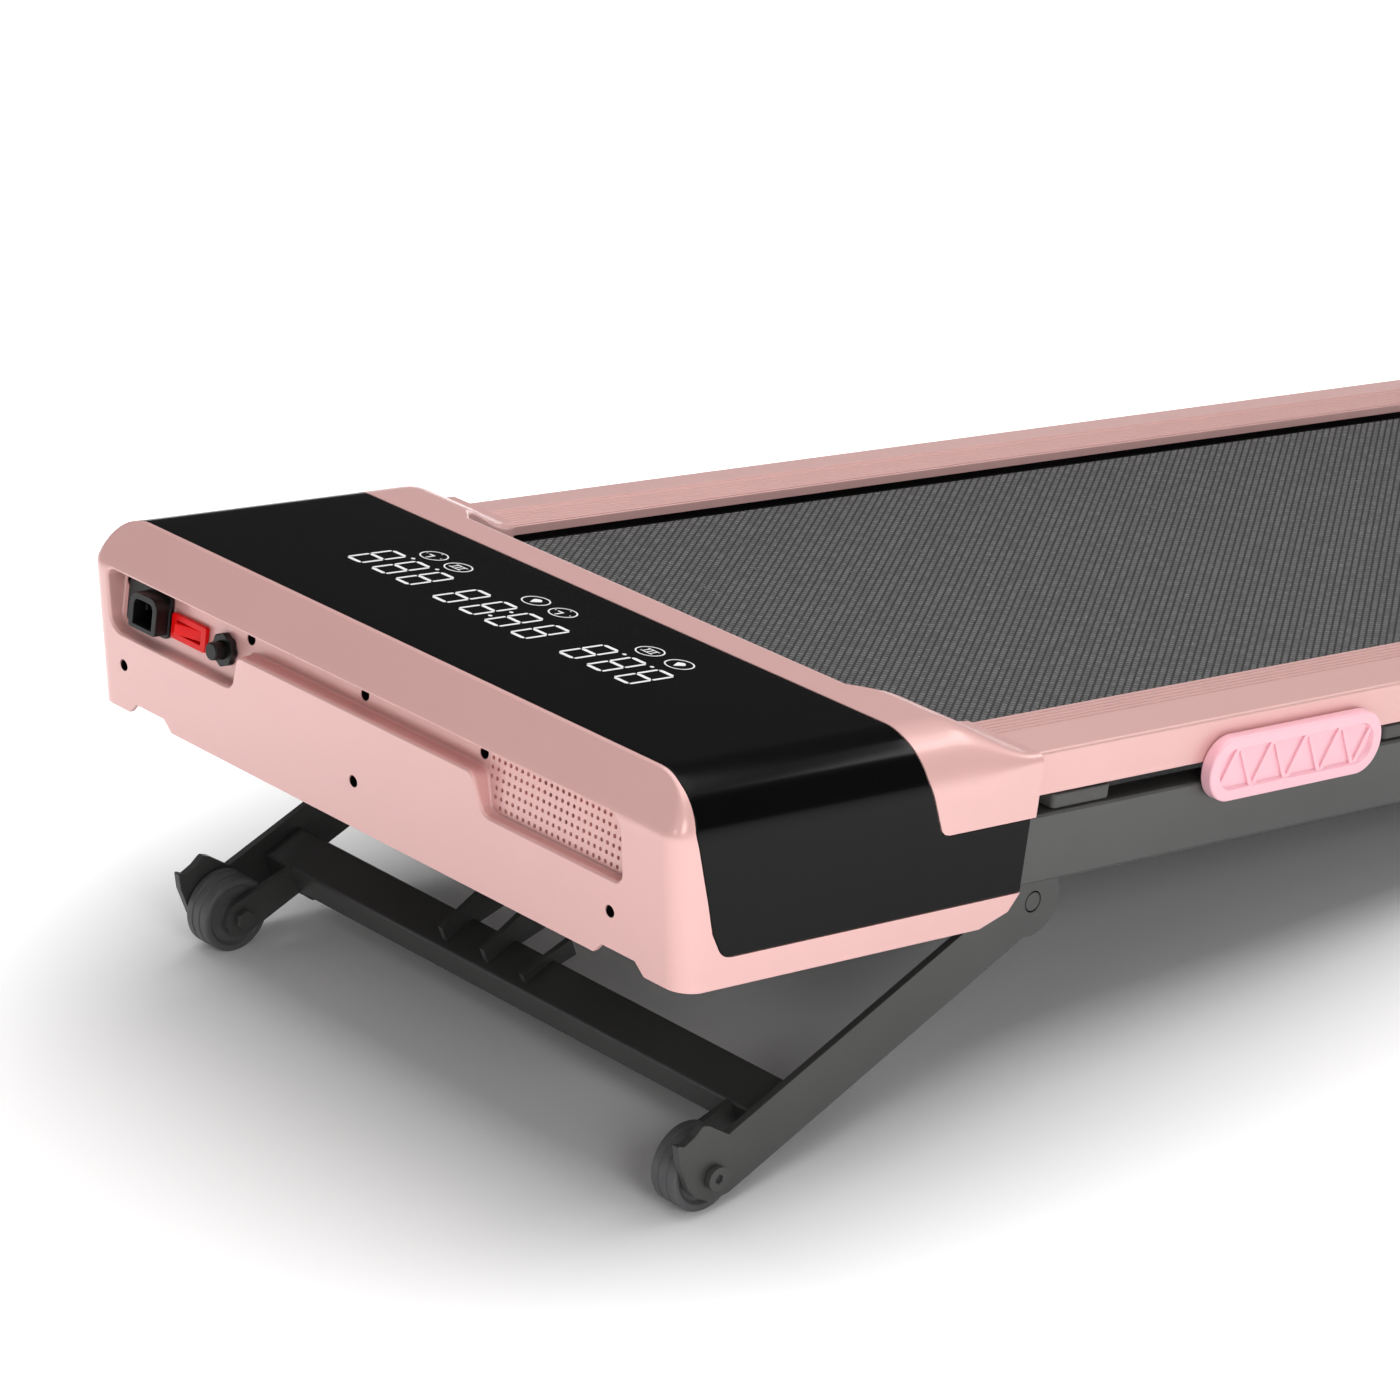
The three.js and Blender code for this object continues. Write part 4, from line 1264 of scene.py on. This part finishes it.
@dataclass(frozen=True)
class Fittings:
    """The power inlet, rocker switch, overload breaker and screws on the front face.

    Attributes:
        screw: Radius of a screw's head.
        turn: Most that a screw is turned, in radians.
        shade_sleeve: Outer and inner radius of the black sleeve in a screw hole, painted shade that makes the hole
            read dark.
        button: Radius of the breaker's button.
        nut: Mean radius of the breaker's lobed nut.
    """

    screw: float = 3.2
    turn: float = 3.0
    shade_sleeve: Point2 = (3.6, 3.3)
    button: float = 5.4
    nut: float = 9.7

    def screw_head(self, y: float) -> Form:
        """Makes a pan-head screw with a cross recess, facing -y about the origin."""
        profile = [(0.0, 0), (0.2, 1.2), (0.7, 2.4), (1.4, self.screw), (2.0, self.screw), (2.0, 0)]
        head = Form.lathe(0, 0, profile, 32)
        head.moved(Matrix.Rotation(math.pi / 2, 4, "Z")).outwards()
        for a, b in ((1.9, 0.45), (0.45, 1.9)):
            head.cut(Form.prism(Axis.Y, rectangle(-a, a, -b, b), -1, 1.1))
        return head.shifted(y=y)

    def build(self) -> None:
        """Makes all the fittings."""
        refined("power_inlet", BLACK, 0.5)
        refined("switch_bezel", RED, 0.6)
        refined("switch_rocker", RED, 0.7)
        ear = repeated(self.screw_head(-7.2), [(-229.2, 0, 70.7)], BLACK, self.turn)
        ear.piece("inlet_flange_screw", BLACK, "deck")
        screws = repeated(self.screw_head(4.5), SCREW_PLACES, BLACK, self.turn)
        # Painted shade: black posts behind the screws and black sleeves lining the holes make the screw holes read
        # dark.
        shade_post = Form.prism(Axis.Y, circle(0, 0, 6.2, 32), 6.4, 16)
        screws.joined(repeated(shade_post, SCREW_PLACES, BLACK))
        for start, row in ((-2.0, UPPER_SCREWS), (-5.3, LOWER_SCREWS)):
            shade_sleeve = Form.prism(Axis.Y, circle(0, 0, self.shade_sleeve[0], 32), start, 6.3)
            shade_sleeve.cut(Form.prism(Axis.Y, circle(0, 0, self.shade_sleeve[1], 32), -9, 9))
            screws.joined(repeated(shade_sleeve, [(x, 0, z) for x, z in row], BLACK))
        screws.piece("front_face_screws", BLACK, "deck")
        self.build_breaker()

    def build_breaker(self) -> None:
        """Makes the breaker's lobed nut, its case and its button."""
        low, high = DECK.box("breaker_body")
        x, z = BREAKER_PLACE
        lobes = []
        for k in range(96):
            angle = 2 * math.pi * k / 96
            radius = self.nut + 0.5 * math.cos(8 * angle)
            lobes.append((x + radius * math.cos(angle), z + radius * math.sin(angle)))
        nut = Form.prism(Axis.Y, lobes, low.y, -2.8).softened(0.6, 3, 60)
        nut.cut(Form.prism(Axis.Y, circle(x, z, self.button + 0.4, 48), -20, 1))
        case = Form.prism(Axis.Y, rectangle(x - 9, x + 9, z - 12, z + 12, 1), 3, 20).softened(0.5, 2)
        neck = Form.prism(Axis.Y, circle(x, z, 6.9, 48), -3, 3.5)
        neck.cut(Form.prism(Axis.Y, circle(x, z, self.button + 0.4, 48), -20, 1))
        nut.united(neck, case).piece("breaker_nut_and_case", BLACK, "deck", "breaker_body")
        low, high = DECK.box("breaker_button")
        cap = Form.prism(Axis.Y, circle(x, z, self.button, 48), low.y, high.y).softened(1.0, 4)
        cap.piece("breaker_button_cap", BLACK, "breaker_button", "breaker_button")


@dataclass(frozen=True)
class MotorHood:
    """The hood and all that is in it.

    Attributes:
        base: The rose front moulding.
        cover: The gloss black cover.
        trim: The rose rear trim.
        grille: The perforated panel.
        display: The printed digits and marks.
        fittings: What is mounted on the front face.
    """

    base: HoodBase = HoodBase()
    cover: HoodCover = HoodCover()
    trim: RearTrim = RearTrim()
    grille: VentGrille = VentGrille()
    display: Display = Display()
    fittings: Fittings = Fittings()

    def build(self) -> None:
        """Makes the hood."""
        for part in (self.base, self.cover, self.trim, self.grille, self.display, self.fittings):
            part.build()
        refined("belly_pan", BLACK, 0.5)
        refined("display_board", CIRCUIT, 0.3)


# ---- deck ---------------------------------------------------------------------------------------


@dataclass(frozen=True)
class RunningBelt:
    """The belt loop about both rollers.

    Attributes:
        half_width: Half the belt's width.
        top: Height of its upper face.
        thickness: Its thickness.
    """

    half_width: float = 192.0
    top: float = 87.7
    thickness: float = 2.0

    def build(self) -> None:
        """Makes the belt from a rounded loop and a flat section."""
        kinds = [(label, "Float") for label in ("Length", "Radius", "Width", "Thickness")]
        tree, given = new_tree("belt_loop", [*kinds, ("Material", "Material")])
        twice = {0: given.outputs["Radius"], 1: 2.0}
        across = add_node(tree, "ShaderNodeMath", twice, operation="MULTIPLY").outputs[0]
        both = {0: given.outputs["Length"], 1: across}
        whole = add_node(tree, "ShaderNodeMath", both, operation="ADD").outputs[0]
        sizes = {"Width": whole, "Height": across}
        loop = add_node(tree, "GeometryNodeCurvePrimitiveQuadrilateral", sizes).outputs[0]
        ends = {"Curve": loop, "Radius": given.outputs["Radius"], "Count": 48, "Limit Radius": True}
        bent = add_node(tree, "GeometryNodeFilletCurve", ends, mode="POLY").outputs[0]
        section = {"Width": given.outputs["Thickness"], "Height": given.outputs["Width"]}
        strip = add_node(tree, "GeometryNodeCurvePrimitiveQuadrilateral", section).outputs[0]
        body = add_node(tree, "GeometryNodeCurveToMesh", {"Curve": bent, "Profile Curve": strip}).outputs[0]
        close_tree(tree, body, given.outputs["Material"])
        source = bpy.data.objects.new("belt_source", bpy.data.meshes.new("belt_source"))
        bpy.context.scene.collection.objects.link(source)
        front, rear = (DECK.point(joint_place(f"{end}_roller_spin")) for end in ("front", "rear"))
        radius = self.top - self.thickness / 2 - front.z
        values = {"Length": rear.y - front.y, "Radius": radius, "Width": 2 * self.half_width}
        values |= {"Thickness": self.thickness, "Material": BELT.material()}
        form = evaluated_form(source, tree, values).merged(0.01).outwards()
        middle = (front.y + rear.y) / 2
        form.moved(Matrix(((0, 0, 1, 0), (1, 0, 0, middle), (0, 1, 0, front.z), (0, 0, 0, 1))))
        form.outwards().piece("running_belt_loop", BELT, "deck", "running_belt")


@dataclass(frozen=True)
class FootRail:
    """The extruded rail beside the belt, with fine ridges along its inner top.

    Attributes:
        ridges: Number of ridges.
        band: Width that they take up.
    """

    ridges: int = 6
    band: float = 24.0

    def build(self, side: str) -> None:
        """Makes the rail of one side."""
        low, high = DECK.box(f"foot_rail_{side}")
        section: list[Sequence[float]] = [(250, 70), (250, 96, 2.5), (222.6, 98.9, 0.4), (222, 97.9)]
        pitch = self.band / self.ridges
        for k in range(self.ridges):
            x = 221.4 - pitch * k
            section += [(x, 98), (x - pitch * 0.62, 98)]
            section += [(x - pitch * 0.74, 97.35), (x - pitch * 0.9, 97.35)]
        section += [(197, 98, 0.9), (197, 91), (200, 91), (200, 93), (246, 91), (246, 70)]
        rail = Form.prism(Axis.Y, rounded(section, 5), low.y, high.y).softened(0.25, 2, 50)
        rail.on_side(SIDES[side]).piece(f"foot_rail_extrusion_{side}", RAIL, "deck", f"foot_rail_{side}")


@dataclass(frozen=True)
class SideBadge:
    """The gloss plate on the rail's side, with a zigzag of raised ribs in its pocket.

    Attributes:
        pitch: Length of one V of the zigzag.
        stroke: Width of a rib.
        rim: Width of the plate's rim along its length and across it.
        back: The x of its inner face.
        face: The x of its outer face.
    """

    pitch: float = 31.0
    stroke: float = 3.0
    rim: Point2 = (9.0, 8.0)
    back: float = 250.4
    face: float = 259.0

    def build(self, side: str) -> None:
        """Makes the plate of one side."""
        low, high = DECK.box(f"side_badge_{side}")
        plate = Form.prism(Axis.X, rectangle(low.y, high.y, low.z, high.z, 19.8, 16), self.back, self.face)
        plate.softened(1.4, 5)
        along, up = self.rim
        inner = rectangle(low.y + along, high.y - along, low.z + up, high.z - up, 11.5, 16)
        pocket = ((256.4, -0.6), (257.4, 0), (259.2, 1.0))
        plate.cut(Form.loft([[Vector((x, y, z)) for y, z in offset(inner, grow)] for x, grow in pocket]))
        middle, half = (low.z + high.z) / 2, (high.z - low.z) / 2 - up
        reach, slim = self.pitch / 2, self.stroke * 0.6
        outline = [(0, -half - 1), (2 * slim, -half - 1), (reach + slim, half + 1), (reach - slim, half + 1)]
        inside = Form.prism(Axis.X, offset(inner, 0.4), 250.6, 262)
        for lean, start in ((1, 0.25), (-1, 0.75)):
            leaning = [(lean * (a - self.pitch / 4 - self.stroke * 0.3), b) for a, b in outline]
            slab = Form.prism(Axis.X, leaning, 256.2, 257.9)
            places = [(0, low.y + along + self.pitch * (k + start), middle) for k in range(5)]
            plate.united(repeated(slab, places, BADGE).crossed(inside))
        plate.softened(0.25, 2, 50).on_side(SIDES[side])
        plate.piece(f"side_badge_plate_{side}", BADGE, "deck", f"side_badge_{side}")


@dataclass(frozen=True)
class Roller:
    """A turned roller on its fixed axle.

    Attributes:
        end: The end of the deck that it is at.
        radius: Radius of the drum.
        bore: Radius of its bore.
        pulley: True for the roller with the drive pulley.
    """

    end: str
    radius: float = 21.0
    bore: float = 6.6
    pulley: bool = False

    def build(self) -> None:
        """Makes the roller and its axle."""
        axis = DECK.point(joint_place(f"{self.end}_roller_spin"))
        profile = [(204, self.bore), (204, self.radius - 1), (203, self.radius)]
        profile += [(-203, self.radius), (-204, self.radius - 1)]
        if self.pulley:
            profile += [(-204, 12), (-208, 12), (-208, 26), (-209, 26)]
            profile += [(-210, 25), (-219, 25), (-220, 26), (-221, 26), (-221, self.bore)]
        else:
            profile += [(-204, self.bore)]
        name = f"{self.end}_roller"
        Form.lathe(axis.y, axis.z, profile, 96).piece(f"{name}_drum", ALU, name, name)
        ends = [(229.4, 0), (229.4, 5), (228.4, 6), (-228.4, 6), (-229.4, 5), (-229.4, 0)]
        Form.lathe(axis.y, axis.z, ends, 48).piece(f"{name}_shaft", ZINC, "deck", f"{name}_axle")


@dataclass(frozen=True)
class Deck:
    """The deck: frame, board, belt, rollers, drive, rails and tail.

    Attributes:
        belt: The running belt.
        rail: The foot rail of either side.
        badge: The plate on either rail.
        rollers: The front and the rear roller.
    """

    belt: RunningBelt = RunningBelt()
    rail: FootRail = FootRail()
    badge: SideBadge = SideBadge()
    rollers: tuple[Roller, ...] = (Roller("front", pulley=True), Roller("rear"))

    def build(self) -> None:
        """Makes the deck."""
        self.belt.build()
        for roller in self.rollers:
            roller.build()
        for side in SIDES:
            self.rail.build(side)
            self.badge.build(side)
            refined(f"side_tube_{side}", STEEL, 0.8)
            refined(f"end_cap_{side}", SHELL, 2.0, 4)
            refined(f"tension_bolt_{side}", ZINC, 0.5)
            refined(f"rear_foot_{side}", RUBBER, 1.0)
            refined(f"leg_pivot_pin_{side}", STEEL, 0.8)
            for k in range(1, 5):
                refined(f"deck_cushion_{k}_{side}", CUSHION, 1.2)
        beams = ("front_crossmember", "mid_crossmember_front", "mid_crossmember_rear", "rear_crossmember")
        for beam in beams:
            refined(beam, STEEL, 0.8)
        refined("running_board", FIBRE, 0.8)
        refined("drive_motor", BLACK, 1.0)
        refined("motor_pulley", ZINC, 0.5)
        refined("drive_belt", RUBBER, 0.4)
        refined("motor_controller", ALU, 0.5)


# ---- lift leg -----------------------------------------------------------------------------------


@dataclass(frozen=True)
class LegWheel:
    """A nylon transport wheel with a recessed hub and shallow grooves round its tread.

    Attributes:
        radius: Radius of the tread.
        bore: Radius of the bore.
        half: Half the wheel's width.
    """

    radius: float = 24.0
    bore: float = 4.6
    half: float = 10.0

    def build(self, side: str) -> None:
        """Makes the wheel of one side."""
        axis = DECK.point(joint_place(f"wheel_{side}_spin"))
        r, h = self.radius, self.half
        outer = [(h, self.bore), (h, 9), (h - 0.5, 9.6), (h - 2.4, 10.4), (h - 2.6, 11), (h - 2.6, 17.4)]
        outer += [(h - 2.2, 18.2), (h - 0.6, 19.4), (h, 20.2)]
        outer += [(h, r - 1.6), (h - 0.4, r - 0.6), (h - 1.4, r)]
        tread = [(4.2, r), (3.8, r - 0.6), (3.0, r - 0.6), (2.6, r)]
        inner = [(-x, radius) for x, radius in reversed(outer)]
        profile = [*outer, *tread, *[(-x, radius) for x, radius in reversed(tread)], *inner]
        placed = [(axis.x + x, radius) for x, radius in profile]
        wheel = Form.lathe(axis.y, axis.z, placed, 96)
        wheel.piece(f"leg_wheel_tyre_{side}", NYLON, f"wheel_{side}", f"leg_wheel_{side}", sharp=40)


@dataclass(frozen=True)
class LiftLeg:
    """The fold-down leg, its wheels and the screw drive that moves it.

    Attributes:
        wheel: The wheel of either side.
    """

    wheel: LegWheel = LegWheel()

    def build(self) -> None:
        """Makes the leg and its drive."""
        for side in SIDES:
            refined(f"leg_arm_{side}", STEEL, 0.8)
            refined(f"leg_foot_pad_{side}", RUBBER, 1.2)
            refined(f"wheel_bolt_{side}", STEEL, 0.5)
            self.wheel.build(side)
        refined("leg_crossbar", STEEL, 0.8)
        refined("lift_motor", BLACK, 0)
        refined("lift_rod", ZINC, 0)
        refined("lift_hanger", STEEL, 0.6)


# ---- scene --------------------------------------------------------------------------------------


@dataclass(frozen=True)
class Lamp:
    """A soft rectangular lamp.

    Attributes:
        place: Where it is, in metres.
        target: The point that it faces.
        size: Its width and height.
        power: Its power in watts.
    """

    place: tuple[float, float, float]
    target: tuple[float, float, float]
    size: Point2
    power: float

    def build(self, name: str) -> None:
        """Hangs the lamp."""
        light = bpy.data.lights.new(name, "AREA")
        light.shape = "RECTANGLE"
        light.size, light.size_y = self.size
        light.energy = self.power
        lamp = bpy.data.objects.new(name, light)
        lamp.location = self.place
        lamp.rotation_euler = (Vector(self.target) - Vector(self.place)).to_track_quat("-Z", "Y").to_euler()
        bpy.context.scene.collection.objects.link(lamp)


@dataclass(frozen=True)
class Studio:
    """Pale floor, soft lights and the camera.

    Attributes:
        eye: The camera's place in the deck's axes, in millimetres.
        right: Its right.
        down: Its down.
        ahead: The way it looks.
        lens: Focal length for a 36 mm wide sensor.
        fill: Strength of the light from all round.
        mirrored: Strength of the surroundings in a reflection.
        lamps: The soft lamps.
    """

    eye: tuple[float, float, float] = (1997.6, -1767.4, 973.7)
    right: tuple[float, float, float] = (0.67579, 0.72680, 0.12267)
    down: tuple[float, float, float] = (0.30803, -0.12729, -0.94282)
    ahead: tuple[float, float, float] = (-0.66964, 0.67495, -0.30989)
    lens: float = 128.86
    fill: float = 0.27
    mirrored: float = 0.08
    lamps: tuple[Lamp, ...] = (
        Lamp((0.0, 0.3, 2.6), (0, 0, 0), (3.4, 3.4), 75),
        Lamp((2.6, -1.5, 1.5), (0, -0.2, 0.15), (1.0, 1.0), 18),
        Lamp((0.9, -2.5, 1.1), (0.2, -0.6, 0.2), (0.4, 0.5), 2.5),
        Lamp((0.5, 2.9, 2.4), (0, -0.4, 0.2), (1.6, 0.5), 14),
    )

    def camera(self) -> None:
        """Places the camera."""
        turn = Matrix.Rotation(-DECK.incline, 3, "X")
        columns = [turn @ Vector(self.right), turn @ -Vector(self.down), turn @ -Vector(self.ahead)]
        data = bpy.data.cameras.new("camera")
        data.lens, data.sensor_width, data.sensor_fit = self.lens, 36.0, "HORIZONTAL"
        data.clip_start = 0.05
        seen = bpy.data.objects.new("camera", data)
        basis = Matrix(columns).transposed().to_4x4()
        seen.matrix_world = Matrix.Translation(DECK.matrix @ Vector(self.eye)) @ basis
        bpy.context.scene.collection.objects.link(seen)
        bpy.context.scene.camera = seen

    def floor(self) -> None:
        """Lays the floor."""
        form = Form.prism(Axis.Z, rectangle(-9, 9, -9, 9), -0.02, 0.0)
        mesh = bpy.data.meshes.new("studio_floor")
        form.bm.to_mesh(mesh)
        mesh.materials.append(FLOOR.material())
        floor = bpy.data.objects.new("studio_floor", mesh)
        bpy.context.scene.collection.objects.link(floor)

    def build(self) -> None:
        """Makes the studio."""
        world = bpy.data.worlds.new("studio")
        world.use_nodes = True
        rays = add_node(world.node_tree, "ShaderNodeLightPath")
        # Straight behind the object the studio is white; as a light it is dim, and in a mirror nearly dark.
        seen = {0: rays.outputs["Is Glossy Ray"], 2: self.fill, 3: self.mirrored}
        dimmed = add_node(world.node_tree, "ShaderNodeMix", seen, data_type="FLOAT").outputs[0]
        shown = {0: rays.outputs["Is Camera Ray"], 2: dimmed, 3: 1.0}
        strength = add_node(world.node_tree, "ShaderNodeMix", shown, data_type="FLOAT").outputs[0]
        world.node_tree.nodes["Background"].inputs["Color"].default_value = linear("#ffffff")
        world.node_tree.links.new(strength, world.node_tree.nodes["Background"].inputs["Strength"])
        bpy.context.scene.world = world
        bpy.context.scene.view_settings.view_transform = "Standard"
        for k, lamp in enumerate(self.lamps):
            lamp.build(f"lamp_{k}")
        self.floor()
        self.camera()


def main() -> None:
    logging.basicConfig(level=logging.INFO, format="%(message)s")
    for part in (MotorHood(), Deck(), LiftLeg(), Studio()):
        part.build()


if __name__ == "__main__":
    main()
